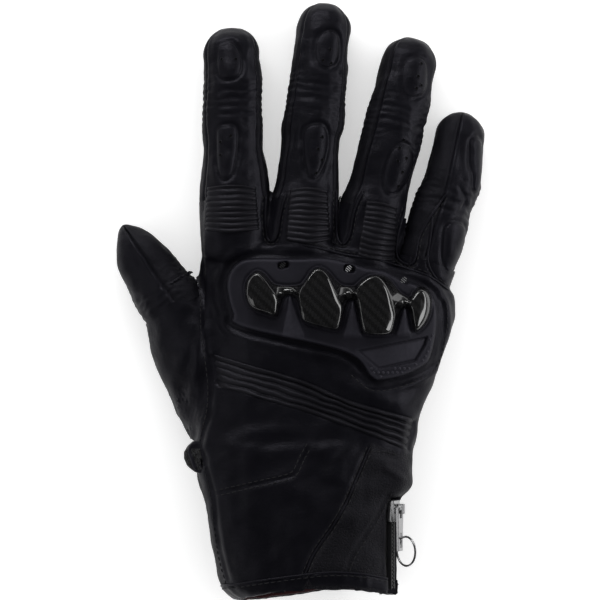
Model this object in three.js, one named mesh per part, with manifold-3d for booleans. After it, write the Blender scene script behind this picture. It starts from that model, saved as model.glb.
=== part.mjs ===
// A right-hand leather riding glove with a short cuff, lying palm down.
// Millimetres, +Z up: the fingers point along +Y and the thumb lies on the -X side.
import * as THREE from "three";
import { mergeVertices } from "three/addons/utils/BufferGeometryUtils.js";
import Module from "manifold-3d";

const wasm = await Module();
wasm.setup();

// Leather and seams
const skin = 2.2; // leather with its bonded lining
const seam = 0.3; // open seam between neighbouring panels
const flatTolerance = 0.05; // facets this close to flat are merged

// Hand and cuff: outer cross-sections from the hem to the finger webs.
// skew and bow bend a section forwards or back as it crosses the hand, and lean tips its back
// towards the fingers.
const handSections = [
  { y: -125.4, left: -34, right: 41, bottom: 2.4, top: 48, skew: -0.03, bow: 0, lean: 0.12 },
  { y: -113, left: -37.8, right: 41, bottom: 2.6, top: 48, skew: -0.03, bow: 0, lean: 0.12 },
  { y: -100, left: -40, right: 41, bottom: 3.6, top: 48, skew: 0, bow: 0, lean: 0.05 },
  { y: -91, left: -41.6, right: 41, bottom: 4.6, top: 47.6, skew: 0, bow: 0, lean: 0 },
  { y: -85.5, left: -42.3, right: 41.6, bottom: 5.2, top: 47, skew: 0, bow: 0, lean: 0 },
  { y: -80, left: -43.2, right: 45.8, bottom: 6, top: 46.3, skew: 0, bow: 0, lean: 0 },
  { y: -66, left: -45, right: 47.6, bottom: 6.6, top: 44, skew: 0, bow: 0, lean: 0 },
  { y: -50, left: -44, right: 51.5, bottom: 4.4, top: 41.5, skew: 0, bow: 0, lean: 0 },
  { y: -35, left: -42, right: 57, bottom: 2.6, top: 39.7, skew: 0, bow: 0, lean: 0 },
  { y: -15, left: -41.6, right: 63, bottom: 2, top: 38.5, skew: 0.01, bow: 0.0005, lean: 0 },
  { y: 1, left: -42, right: 66.3, bottom: 2, top: 37, skew: 0.03, bow: 0.0015, lean: 0 },
  { y: 14, left: -42.8, right: 66.8, bottom: 2.8, top: 34.5, skew: 0.045, bow: 0.003, lean: 0 },
  { y: 25, left: -42.8, right: 66, bottom: 6, top: 31, skew: 0.06, bow: 0.0045, lean: 0 },
];
const handPower = 2.5; // 2 is an ellipse, higher is squarer
const handSides = 22;
const hemHeight = 6.6;
const hemProud = 0.9; // the binding stands this far outside the cuff

// Fingers: the hinge to the hand, the directions in degrees, and the sizes.
// face turns the padded back of the finger towards the little-finger side.
const fingers = {
  index: {
    base: [-29.3, 38.5, 20.3], splay: -0.3, pitch: 4, tipSplay: 0, tipPitch: 6,
    midLength: 46.6, tipLength: 32.2, baseWidth: 27.6, kneeWidth: 26, tipWidth: 24.4,
    pleats: 15.2, pleatCount: 6, face: -8,
    midPad: { along: 25.5, width: 13, length: 26 }, tipPad: { along: 18, width: 13, length: 17 },
  },
  middle: {
    base: [1.7, 35.7, 20.6], splay: 5.8, pitch: 4, tipSplay: 0.7, tipPitch: 4,
    midLength: 50.6, tipLength: 41.9, baseWidth: 27, kneeWidth: 26, tipWidth: 24,
    pleats: 19, pleatCount: 8, face: 9,
    midPad: { along: 27.6, width: 18, length: 27 }, tipPad: { along: 22.4, width: 13, length: 19 },
  },
  ring: {
    base: [31.2, 32.3, 20.3], splay: 13.6, pitch: 4, tipSplay: -2.4, tipPitch: 5,
    midLength: 45.3, tipLength: 37.4, baseWidth: 27.2, kneeWidth: 26.4, tipWidth: 23.6,
    pleats: 19, pleatCount: 8, face: 19,
    midPad: { along: 24.8, width: 15, length: 22 }, tipPad: { along: 18.4, width: 14, length: 20 },
  },
  little: {
    base: [53.9, 13.8, 18.6], splay: 17, pitch: 4, tipSplay: -5, tipPitch: 5,
    midLength: 30.4, tipLength: 38.8, baseWidth: 25.4, kneeWidth: 25.6, tipWidth: 22.4,
    pleats: 13, pleatCount: 4, face: 42,
    midPad: { along: 16.4, width: 13, length: 16 }, tipPad: { along: 19, width: 12, length: 22 },
  },
};
const flatness = 0.84; // a finger's thickness as a share of its width
const stubLength = 30; // how far a finger's root reaches back into the hand
const creaseLength = 10; // the soft fold between the two halves of a finger
const creaseCount = 3;
const ribHeight = 1.2;
const hingeDrop = 3; // the folds turn this far below a finger's middle
const padHeight = 2.6;
const padSink = 1.4; // how far a pad's rim lies below its finger's own back
const fingerSides = 14;

// Thumb
const thumb = {
  base: [-57.3, 1.6, 16.2], splay: -32.5, pitch: 5, roll: -20,
  tipLength: 36.2, kneeWidth: 28.4, tipWidth: 19, kneeThick: 23, tipThick: 17.5, face: -20,
};
// The thumb's root, from inside the palm to its fold: middle, direction, and half sizes.
const thumbRoot = [
  { at: [-34, -55, 19], splay: -16, wide: 14.6, thick: 11 },
  { at: [-39.5, -39, 18.2], splay: -20, wide: 17, thick: 12.6 },
  { at: [-47, -20, 17.2], splay: -24, wide: 17.6, thick: 12.8 },
  { at: [-54.62, -2.62, 16.64], splay: -32.5, wide: 14.2, thick: 11.5 },
];

// Seam lines across the back of the hand, as points on the plan
const stretchTop = [[-60, -17.4], [80, -52.7]];
const stretchBottom = [[-60, -36.3], [80, -71.6]];
const stretchRibs = 4;
const cuffSeam = [[34.2, -58], [7, -120]];
const thumbSeamX = -41.2;
const thumbSeamLow = -56;
const wristY = -56;

// Knuckle guard
const guardOutline = [
  [-31.6, 4.6], [-30.5, 11.3], [-26.1, 16.4], [-18.6, 18], [-1.5, 17.8], [8.9, 18.2], [16.4, 17.2],
  [27.6, 14], [35.8, 12.4], [41, 10], [49.9, 6.4], [55, 3.6], [57.6, -1], [58.4, -6.5], [58, -14],
  [55.4, -24.4], [52.6, -28], [44.7, -31.9], [34.3, -34.2], [29.8, -32.7], [18.7, -22.2],
  [-24.6, -11.8], [-29, -5.8],
];
const guardThick = 2.4;
const domes = [
  { x: -16.4, y: 3.4, wide: 7.6, long: 10, high: 5.6 },
  { x: 9.4, y: 1.2, wide: 9.4, long: 12.4, high: 6.8 },
  { x: 33, y: -2.2, wide: 8.8, long: 12.2, high: 6.6 },
  { x: 51, y: -4.6, wide: 5.6, long: 9.6, high: 5.4 },
];
const domeWall = 1.6;
const bridgeHeight = 3.8;
const bridgeHalf = 3.4;

// Zip on the little-finger side of the cuff. roll turns its face up from the side.
const zip = { z: 34.5, roll: 23, slot: 9, low: -123, high: -84.5, tapeWidth: 18, tapeThick: 1 };
const teeth = { pitch: 1.6, wide: 0.6, reach: 1.3, strip: 0.9, deep: 2, gap: 0.25 };
const slider = { y: -89.8, long: 9, wide: 7, plate: 1.4, flange: 0.9, clearance: 0.3 };
const pull = { thick: 1.1, wide: 5.6, long: 18.6, bar: 1.2, window: 3.4, slotHalf: 3.2, slotWide: 2.7 };
const lug = { half: 2.1, wide: 1.9, lift: 1.3, hole: 1.15 };
const zipRing = { radius: 6.2, wire: 0.5, swing: 44, tilt: 30 };

// Wrist strap on the palm side
const strap = { low: -75.5, high: -58.5, thick: 1.8, rootZ: 25, endX: 24 };
const fleece = 1; // thickness of each touch-fastener patch
const restLevel = 0.6; // the palm patch is pressed flat here, where the glove lies on it
const palmPatchThick = 1.4;
const palmPatch = [
  [-31, -28], [-35, -10], [-33, 6], [-22, 14], [0, 16.5], [22, 15], [40, 8], [50, -4], [51, -24],
  [44, -42], [24, -50], [8, -46], [-6, -36],
];

// Materials
const finish = (color, roughness, metalness = 0) =>
  new THREE.MeshStandardMaterial({ color, roughness, metalness });
const leather = finish(0x141416, 0.5);
const palmLeather = finish(0x17171a, 0.62);
const stretchLeather = finish(0x121214, 0.55);
const moulded = finish(0x1f1f24, 0.6);
const carbon = finish(0x0e0e10, 0.12);
const steel = finish(0xc9cacd, 0.25, 1);
const fabric = finish(0x101012, 0.9);

// A three.js geometry as a solid that can be joined and cut
function solid(geometry) {
  const bare = geometry.clone();
  bare.deleteAttribute("normal");
  bare.deleteAttribute("uv");
  const merged = mergeVertices(bare);
  return new wasm.Manifold(
    new wasm.Mesh({
      numProp: 3,
      vertProperties: merged.attributes.position.array,
      triVerts: new Uint32Array(merged.index.array),
    }),
  );
}

// The largest body of a cut solid, without the crumbs that a cut leaves
function mainBody(cut) {
  const bodies = cut.decompose();
  return bodies.reduce((a, b) => (b.volume() > a.volume() ? b : a));
}

function add(parent, name, body, material) {
  const made = mainBody(body).simplify(flatTolerance).getMesh();
  const geometry = new THREE.BufferGeometry();
  geometry.setAttribute("position", new THREE.BufferAttribute(made.vertProperties, 3));
  geometry.setIndex(new THREE.BufferAttribute(made.triVerts, 1));
  geometry.computeVertexNormals();
  const mesh = new THREE.Mesh(geometry, material);
  mesh.name = name;
  parent.add(mesh);
  return mesh;
}

// A closed solid through rings that all have the same number of points
function loft(rings) {
  const sides = rings[0].length;
  const points = rings.flat();
  const faces = [];
  for (let i = 0; i + 1 < rings.length; i++) {
    for (let k = 0; k < sides; k++) {
      const a = i * sides + k;
      const b = i * sides + ((k + 1) % sides);
      faces.push(a, b + sides, b, a, a + sides, b + sides);
    }
  }
  const middleOf = (ring) =>
    ring.reduce((sum, p) => sum.add(p), new THREE.Vector3()).divideScalar(sides);
  const first = points.push(middleOf(rings[0])) - 1;
  const last = points.push(middleOf(rings[rings.length - 1])) - 1;
  const end = (rings.length - 1) * sides;
  for (let k = 0; k < sides; k++) {
    const next = (k + 1) % sides;
    faces.push(first, k, next, last, end + next, end + k);
  }
  const geometry = new THREE.BufferGeometry().setFromPoints(points);
  geometry.setIndex(faces);
  return solid(geometry);
}

// A squared-off ellipse in the XZ plane, as [x, z] pairs
function roundedOutline(halfWide, halfHigh, power, sides) {
  return Array.from({ length: sides }, (_, k) => {
    const t = (2 * Math.PI * k) / sides;
    const bend = (v) => Math.sign(v) * Math.abs(v) ** (2 / power);
    return [halfWide * bend(Math.cos(t)), halfHigh * bend(Math.sin(t))];
  });
}

function handRing(section, grow, y = section.y) {
  const midX = (section.left + section.right) / 2;
  const midZ = (section.bottom + section.top) / 2;
  const wide = (section.right - section.left) / 2 + grow;
  const high = (section.top - section.bottom) / 2 + grow;
  return roundedOutline(wide, high, handPower, handSides).map(([dx, dz]) => {
    const x = midX + dx;
    const forward = section.lean * dz - section.skew * x - section.bow * x * x;
    return new THREE.Vector3(x, y + forward, midZ + dz);
  });
}

// The hand and cuff grown by a distance, with its ends moved by low and high
function handBody(grow, low = 0, high = grow) {
  const last = handSections.length - 1;
  return loft(
    handSections.map((section, i) =>
      handRing(section, grow, section.y - (i === 0 ? low : 0) + (i === last ? high : 0)),
    ),
  );
}

// Where the cuff's little-finger side lies at a given height, halfway along the zip
function sideAt(z) {
  const section = handSections[2];
  const half = (section.right - section.left) / 2;
  const rise = Math.abs(z - (section.top + section.bottom) / 2) / ((section.top - section.bottom) / 2);
  return (section.right + section.left) / 2 + half * (1 - rise ** handPower) ** (1 / handPower);
}

const box = (x0, x1, y0, y1, z0, z1) =>
  solid(
    new THREE.BoxGeometry(x1 - x0, y1 - y0, z1 - z0).translate(
      (x0 + x1) / 2,
      (y0 + y1) / 2,
      (z0 + z1) / 2,
    ),
  );

// An outline pushed along an axis: its points lie in the next two axes, in X, Y, Z, X order
const axes = {
  x: new THREE.Matrix4().set(0, 0, 1, 0, 1, 0, 0, 0, 0, 1, 0, 0, 0, 0, 0, 1),
  y: new THREE.Matrix4().set(0, 1, 0, 0, 0, 0, 1, 0, 1, 0, 0, 0, 0, 0, 0, 1),
  z: new THREE.Matrix4(),
};
function prism(axis, points, low, high, holes = []) {
  const outline = (list) => list.map(([u, v]) => new THREE.Vector2(u, v));
  const shape = new THREE.Shape(outline(points));
  shape.holes = holes.map((hole) => new THREE.Path(outline(hole)));
  const geometry = new THREE.ExtrudeGeometry(shape, { depth: high - low, bevelEnabled: false });
  return solid(geometry.translate(0, 0, low).applyMatrix4(axes[axis]));
}

// A smooth closed outline through a few points
function smoothOutline(points, count) {
  const curve = new THREE.CatmullRomCurve3(
    points.map(([x, y]) => new THREE.Vector3(x, y, 0)),
    true,
    "centripetal",
  );
  return curve.getSpacedPoints(count).slice(0, count).map((p) => [p.x, p.y]);
}

// The point of a straight seam line at a given x or y
const lineAtX = ([[x0, y0], [x1, y1]], x) => y0 + ((y1 - y0) * (x - x0)) / (x1 - x0);
const lineAtY = ([[x0, y0], [x1, y1]], y) => x0 + ((x1 - x0) * (y - y0)) / (y1 - y0);

const moved = (body, object) => {
  object.updateWorldMatrix(true, false);
  return body.transform(object.matrixWorld.elements);
};

const radians = THREE.MathUtils.degToRad;
const glove = new THREE.Group();
glove.name = "glove";

// Finger shapes, in a frame whose +Y runs along the finger and whose +Z is its back
function fingerRing(y, halfWide, halfThick, lift = () => 0) {
  return roundedOutline(halfWide, halfThick, 2.1, fingerSides).map(([x, z]) => {
    const out = 1 + lift(x, z) / Math.hypot(x, z);
    return new THREE.Vector3(x * out, y, z * out);
  });
}

const halfWidthAt = (finger, along) =>
  THREE.MathUtils.lerp(
    finger.baseWidth / 2,
    finger.kneeWidth / 2,
    THREE.MathUtils.clamp(along / finger.midLength, 0, 1),
  );

function fingerTube(finger, from, to, grow, lifts = []) {
  const stations = lifts.length ? lifts : [{ y: from }, { y: to }];
  return loft(
    stations.map(({ y, lift }) => {
      const half = halfWidthAt(finger, y);
      return fingerRing(y, half + grow, half * flatness + grow, lift);
    }),
  );
}

// The rounded end of a finger or thumb, from its fold to its tip
const tipAngles = [0, 26, 46, 62, 76, 85];
function fingerEnd(sizes, from, grow) {
  const { kneeWide, kneeThick, tipWide, tipThick, length } = sizes;
  const roundOff = tipWide + grow;
  const start = length + grow - roundOff;
  const rings = [fingerRing(from, kneeWide + grow, kneeThick + grow)];
  for (const angle of tipAngles) {
    const shrink = Math.cos(radians(angle)) ** 0.9;
    rings.push(
      fingerRing(
        start + roundOff * Math.sin(radians(angle)),
        (tipWide + grow) * shrink,
        (tipThick + grow) * shrink,
      ),
    );
  }
  return loft(rings);
}

// Ribs stand up on the padded back of a finger and fade out round its sides
function ribbed(face) {
  const turn = radians(face);
  return (x, z) => {
    const backward = (z * Math.cos(turn) + x * Math.sin(turn)) / Math.hypot(x, z);
    return ribHeight * Math.max(0, backward) ** 0.5;
  };
}
function ribStations(from, to, count, face) {
  const lift = ribbed(face);
  const step = (to - from) / count;
  const stations = [{ y: from }];
  for (let i = 0; i < count; i++) {
    stations.push({ y: from + step * (i + 0.35), lift }, { y: from + step * (i + 0.65), lift });
    if (i + 1 < count) stations.push({ y: from + step * (i + 1) });
  }
  stations.push({ y: to });
  return stations;
}

// A box over the back half of a finger that is turned by its face angle
const far = 60;
function backHalf(face, side) {
  const [z0, z1] = side > 0 ? [seam / 2, far] : [-far, -seam / 2];
  return box(-far, far, -far, 2 * far, z0, z1).rotate([0, face, 0]);
}

// A crowned pad that sits on the back of a finger
function pad(shape, face, surface, half) {
  const { along, width, length } = shape;
  const dome = solid(
    new THREE.SphereGeometry(1, 12, 8).scale(width / 2, length / 2, padHeight + padSink),
  );
  return dome
    .translate([0, along, half * flatness - padSink])
    .rotate([0, face, 0])
    .subtract(surface);
}

// The soft fold round a joint: a ribbed tube that turns with the joint's own rest angles
function creaseBody(joint, halfWide, halfThick, face) {
  const turned = new THREE.Object3D();
  const bent = (grow, stations) =>
    loft(
      stations.map(({ y, lift }) => {
        const share = THREE.MathUtils.clamp(y / creaseLength + 0.5, 0, 1);
        turned.position.copy(joint.position);
        turned.rotation.set(joint.rotation.x * share, 0, joint.rotation.z * share, "ZXY");
        turned.updateMatrix();
        return fingerRing(y, halfWide + grow, halfThick + grow, lift)
          .map((p) => p.applyMatrix4(turned.matrix));
      }),
    );
  const half = creaseLength / 2;
  const outside = bent(0, ribStations(-half + seam, half - seam, creaseCount, face));
  return outside.subtract(bent(-skin, [{ y: -half - 1 }, { y: 0 }, { y: half + 1 }]));
}

const envelopes = []; // room that the hand's skin leaves for the fingers
const rootClearance = []; // room that pieces lying on the hand leave round the finger roots
const stubs = [];
const bores = [];
for (const [name, finger] of Object.entries(fingers)) {
  const base = new THREE.Group();
  base.name = name + "_base_fold";
  base.position.set(...finger.base);
  base.rotation.set(radians(-finger.pitch), 0, radians(-finger.splay), "ZXY");
  glove.add(base);
  const knee = new THREE.Group();
  knee.name = name + "_tip_fold";
  knee.position.set(0, finger.midLength, 0);
  knee.rotation.set(radians(-finger.tipPitch), 0, radians(-finger.tipSplay), "ZXY");
  base.add(knee);

  const pleatEnd = finger.pleats / 2;
  const midEnd = finger.midLength - creaseLength / 2;
  stubs.push(moved(fingerTube(finger, -stubLength, -pleatEnd, 0), base));
  bores.push(moved(fingerTube(finger, -stubLength + skin, pleatEnd, -skin), base));
  const lift = ribbed(finger.face);
  const room = moved(fingerTube(finger, 0, 0, seam,
    [{ y: -pleatEnd, lift }, { y: pleatEnd, lift }, { y: finger.midLength }]), base);
  envelopes.push(room);
  const stubRoom = fingerTube(finger, -stubLength - seam, -pleatEnd + seam, seam);
  rootClearance.push(room, moved(stubRoom, base));

  // Pleated fold at the root
  const pleats = fingerTube(finger, 0, 0, 0,
    ribStations(-pleatEnd + seam, pleatEnd - seam, finger.pleatCount, finger.face));
  const bore = fingerTube(finger, -stubLength, finger.midLength, -skin);
  add(base, name + "_pleats", pleats.subtract(bore), stretchLeather);

  // Middle section: back and front leather, and the knuckle pad
  const midSolid = fingerTube(finger, pleatEnd, midEnd, 0);
  const mid = midSolid.subtract(bore);
  add(base, name + "_mid_back", mid.intersect(backHalf(finger.face, 1)), leather);
  add(base, name + "_mid_front", mid.intersect(backHalf(finger.face, -1)), palmLeather);
  const midSurface = fingerTube(finger, -pleatEnd, finger.midLength, seam);
  const midHalf = halfWidthAt(finger, finger.midPad.along);
  add(base, name + "_mid_pad", pad(finger.midPad, finger.face, midSurface, midHalf), leather);

  // Crease fold at the first joint, bent from the middle section's line to the tip's
  add(base, name + "_crease", creaseBody(knee, finger.kneeWidth / 2,
    (finger.kneeWidth / 2) * flatness, finger.face), stretchLeather);

  // Tip section
  const sizes = {
    kneeWide: finger.kneeWidth / 2,
    kneeThick: (finger.kneeWidth / 2) * flatness,
    tipWide: finger.tipWidth / 2,
    tipThick: (finger.tipWidth / 2) * flatness,
    length: finger.tipLength,
  };
  const tipFrom = creaseLength / 2;
  const tip = fingerEnd(sizes, tipFrom, 0).subtract(fingerEnd(sizes, 0, -skin));
  add(knee, name + "_tip_back", tip.intersect(backHalf(finger.face, 1)), leather);
  add(knee, name + "_tip_front", tip.intersect(backHalf(finger.face, -1)), palmLeather);
  const tipHalf = finger.tipWidth / 2;
  add(knee, name + "_tip_pad",
    pad(finger.tipPad, finger.face, fingerEnd(sizes, 0, seam), tipHalf), leather);
}

// Thumb: its root is part of the hand, its end folds on its own
const thumbFold = new THREE.Group();
thumbFold.name = "thumb_fold";
thumbFold.position.set(...thumb.base);
thumbFold.rotation.set(radians(-thumb.pitch), radians(thumb.roll), radians(-thumb.splay), "ZXY");
glove.add(thumbFold);

function thumbRootBody(grow) {
  const turned = new THREE.Object3D();
  return loft(
    thumbRoot.map(({ at, splay, wide, thick }, i) => {
      turned.position.set(...at);
      turned.rotation.set(radians(-thumb.pitch), radians(thumb.roll), radians(-splay), "ZXY");
      turned.updateMatrix();
      const start = i === 0 ? -grow : 0;
      return fingerRing(start, wide + grow, thick + grow)
        .map((p) => p.applyMatrix4(turned.matrix));
    }),
  );
}
const thumbSizes = {
  kneeWide: thumb.kneeWidth / 2,
  kneeThick: thumb.kneeThick / 2,
  tipWide: thumb.tipWidth / 2,
  tipThick: thumb.tipThick / 2,
  length: thumb.tipLength,
};
const thumbTip = fingerEnd(thumbSizes, creaseLength / 2, 0).subtract(
  fingerEnd(thumbSizes, 0, -skin),
);
add(thumbFold, "thumb_tip_back", thumbTip.intersect(backHalf(thumb.face, 1)), leather);
add(thumbFold, "thumb_tip_front", thumbTip.intersect(backHalf(thumb.face, -1)), palmLeather);
const thumbTube = (from, to, grow, stations = [{ y: from }, { y: to }]) =>
  loft(
    stations.map(({ y, lift }) =>
      fingerRing(y, thumbSizes.kneeWide + grow, thumbSizes.kneeThick + grow, lift),
    ),
  );
const thumbCreaseLow = -creaseLength / 2 + seam;
const thumbCreaseHigh = creaseLength / 2 - seam;
const thumbCrease = thumbTube(0, 0, 0,
  ribStations(thumbCreaseLow, thumbCreaseHigh, creaseCount, thumb.face));
add(thumbFold, "thumb_crease",
  thumbCrease.subtract(thumbTube(-creaseLength, creaseLength, -skin)), stretchLeather);
stubs.push(thumbRootBody(0));
bores.push(thumbRootBody(-skin), moved(thumbTube(-creaseLength * 1.4, 0, -skin), thumbFold));
envelopes.push(moved(thumbTube(-creaseLength / 2, far, seam * 2), thumbFold));

// The hand and cuff as one hollow skin, which the seams then part into panels
const handSolid = wasm.Manifold.union([handBody(0), ...stubs]);
const cavity = wasm.Manifold.union([handBody(-skin, skin * 4, -skin), ...bores]);
const shell = handSolid.subtract(cavity).subtract(wasm.Manifold.union(envelopes));

// Above this line, in a side view, is the back of the glove, and below it the palm
const sideSeam = [[-140, zip.z], [-84, zip.z], [-50, 21], [60, 19]];
const above = prism("x", [...sideSeam, [60, 90], [-140, 90]], -100, 100);
const below = prism(
  "x",
  [...sideSeam.map(([y, z]) => [y, z - seam]), [60, -40], [-140, -40]].reverse(),
  -100,
  100,
);
const thumbSide = (gap) =>
  prism("z", [[-100, thumbSeamLow - gap], [thumbSeamX + gap, thumbSeamLow - gap],
    [thumbSeamX + gap, 24], [-100, 60]], -40, 90);
const handSide = box(-100, 100, wristY, 60, -40, 90).subtract(thumbSide(seam));

// The zip's own frame: its X points straight out of the cuff, and its Z lies across the chain
const zipFrame = new THREE.Group();
zipFrame.name = "zip_frame";
zipFrame.position.set(sideAt(zip.z), 0, zip.z);
zipFrame.rotation.y = -radians(zip.roll);
glove.add(zipFrame);
const inZip = (body) => moved(body, zipFrame);
const zipSlot = inZip(box(-12, 20, -140, zip.high, -zip.slot / 2, zip.slot / 2));

// Back of the hand, parted by the slanting stretch panel
const inFront = (line, gap) =>
  prism("z", [[-60, lineAtX(line, -60) + gap], [80, lineAtX(line, 80) + gap], [80, 60], [-60, 60]],
    -40, 90);
const backSkin = shell.intersect(above).subtract(thumbSide(seam));
const hemSection = handSections[0];
const hemMiddle = (hemSection.bottom + hemSection.top) / 2;
// Everything past a line that runs round the cuff beside the hem
function aboveHem(distance) {
  const { y, lean, skew } = hemSection;
  const slant = new THREE.Matrix4().set(1, 0, 0, 0, -skew, 1, lean, y + distance - lean * hemMiddle,
    0, 0, 1, 0, 0, 0, 0, 1);
  return box(-100, 100, 0, 200, -40, 90).transform(slant.elements);
}
const notHem = aboveHem(hemHeight + seam);
add(glove, "back_panel", backSkin.intersect(inFront(stretchTop, 0)), leather);

// The stretch panel carries its ribs as raised bands that run with it
function stretchPanel() {
  const flat = backSkin.subtract(inFront(stretchTop, -seam)).intersect(inFront(stretchBottom, 0));
  const width = lineAtX(stretchTop, 0) - lineAtX(stretchBottom, 0);
  const step = width / stretchRibs;
  const raised = handBody(ribHeight).subtract(handBody(-skin)).intersect(above)
    .subtract(thumbSide(seam));
  const bands = Array.from({ length: stretchRibs }, (_, i) => {
    const low = seam + step * (i + 0.25);
    const high = seam + step * (i + 0.75) - seam;
    return raised.intersect(inFront(stretchBottom, low)).subtract(inFront(stretchBottom, high));
  });
  return wasm.Manifold.union([flat, ...bands]);
}
add(glove, "back_stretch_panel", stretchPanel(), stretchLeather);

// Cuff: a wide back panel, a side panel by the zip, and the palm side
const cuffBack = backSkin.subtract(inFront(stretchBottom, -seam)).intersect(notHem)
  .subtract(zipSlot);
const leftOfSeam = (gap) =>
  prism("z", [[-100, -140], [lineAtY(cuffSeam, -140) + gap, -140],
    [lineAtY(cuffSeam, -40) + gap, -40], [-100, -40]], -40, 90);
add(glove, "cuff_back_panel", cuffBack.intersect(leftOfSeam(-seam / 2)), leather);
add(glove, "cuff_side_panel", cuffBack.subtract(leftOfSeam(seam / 2)), leather);
const palmSkin = shell.intersect(below).subtract(thumbSide(seam));
add(glove, "palm_panel", palmSkin.intersect(handSide), palmLeather);
const cuffPalm = palmSkin.subtract(box(-100, 100, wristY - seam, 60, -40, 90)).intersect(notHem)
  .subtract(zipSlot);
add(glove, "cuff_palm_panel", cuffPalm, palmLeather);
const hem = handBody(hemProud, 0, 0).subtract(cavity).subtract(aboveHem(hemHeight))
  .subtract(zipSlot);
add(glove, "hem_binding", hem, leather);

// Thumb root panels
const thumbSkin = shell.intersect(thumbSide(0));
const thumbSplitZ = thumb.base[2];
add(glove, "thumb_root_back",
  thumbSkin.intersect(box(-100, 0, -100, 60, thumbSplitZ + seam / 2, 90)), leather);
add(glove, "thumb_root_front",
  thumbSkin.intersect(box(-100, 0, -100, 60, -40, thumbSplitZ - seam / 2)), palmLeather);

// Webs between the fingers: short gussets that fill the crotch of each pair
function web(name, middleX, wide, crotchY) {
  const profile = [[crotchY - 30, 9], [crotchY, 11], [crotchY, 20], [crotchY - 30, 26]];
  const block = prism("x", profile, middleX - wide / 2, middleX + wide / 2);
  const notch = solid(new THREE.CylinderGeometry(2.6, 2.6, far, 12).rotateX(Math.PI / 2))
    .translate([middleX, crotchY + 1, 15]);
  const gusset = block.subtract(notch).subtract(handBody(seam, seam, 3 * seam))
    .subtract(wasm.Manifold.union(rootClearance));
  add(glove, name, gusset, leather);
}
web("web_index_middle", -13.4, 16, 45);
web("web_middle_ring", 17.4, 16, 42);
web("web_ring_little", 45.4, 13, 34);

// Knuckle guard: a moulded bezel on the leather, and one glossy shell with four domes in it
const crown = wasm.Manifold.union([handBody(seam), ...rootClearance]);
const guardPlate = handBody(seam + guardThick).subtract(crown);
const guardRegion = prism("z", smoothOutline(guardOutline, 56), 20, 90);
const crownHeightAt = (x, y) => {
  const column = handBody(0).intersect(box(x - 0.5, x + 0.5, y - 0.5, y + 0.5, 20, 90));
  return column.boundingBox().max[2];
};
function domeSolid(dome, grow) {
  const shape = new THREE.SphereGeometry(1, 14, 8);
  shape.scale(dome.wide + grow, dome.long + grow, dome.high + guardThick + grow);
  return solid(shape).translate([dome.x, dome.y, crownHeightAt(dome.x, dome.y)]);
}
function bridgeSolid(grow) {
  return wasm.Manifold.union(
    domes.slice(1).map((dome, i) => {
      const before = domes[i];
      const half = bridgeHalf + grow;
      const run = [[before.x, before.y - half], [dome.x, dome.y - half],
        [dome.x, dome.y + half], [before.x, before.y + half]];
      return handBody(seam + bridgeHeight + grow).intersect(prism("z", run, 20, 90));
    }),
  );
}
const domesOuter = wasm.Manifold.union([...domes.map((d) => domeSolid(d, 0)), bridgeSolid(0)]);
const domesHole = wasm.Manifold.union([...domes.map((d) => domeSolid(d, seam)), bridgeSolid(seam)]);
const domesInner = wasm.Manifold.union(domes.map((d) => domeSolid(d, -domeWall)));
add(glove, "knuckle_bezel", guardPlate.intersect(guardRegion).subtract(domesHole), moulded);
add(glove, "knuckle_shell", domesOuter.subtract(domesInner).subtract(crown), carbon);

// Zip: tape behind the slot, two meshing rows of teeth, and the slider with its pull and ring
const tapeHalf = zip.tapeWidth / 2;
const tape = handBody(-skin - seam).subtract(handBody(-skin - seam - zip.tapeThick))
  .intersect(inZip(box(-20, 10, zip.low, zip.high - seam, -tapeHalf, tapeHalf)));
add(glove, "zip_tape", tape, fabric);

const chainX = -skin + 0.3; // the back of the chain, in the zip's frame
const chainTop = chainX + teeth.deep;
const stripInner = teeth.reach - teeth.gap / 2; // from the middle of the chain to a row's strip
const stripOuter = stripInner + teeth.strip;
function toothRow(side, offset) {
  const top = zip.high - 1;
  const points = [[zip.low, side * stripOuter], [top, side * stripOuter], [top, side * stripInner]];
  const count = Math.floor((top - zip.low - teeth.pitch) / teeth.pitch);
  for (let i = count - 1; i >= 0; i--) {
    const start = zip.low + 0.4 + offset + i * teeth.pitch;
    const reach = side * (stripInner - teeth.reach);
    points.push([start + teeth.wide, side * stripInner], [start + teeth.wide, reach],
      [start, reach], [start, side * stripInner]);
  }
  points.push([zip.low, side * stripInner]);
  return prism("x", side > 0 ? points.reverse() : points, chainX, chainTop);
}
add(zipFrame, "zip_teeth_back", toothRow(1, 0), fabric);
add(zipFrame, "zip_teeth_palm", toothRow(-1, teeth.pitch / 2), fabric);

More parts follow.
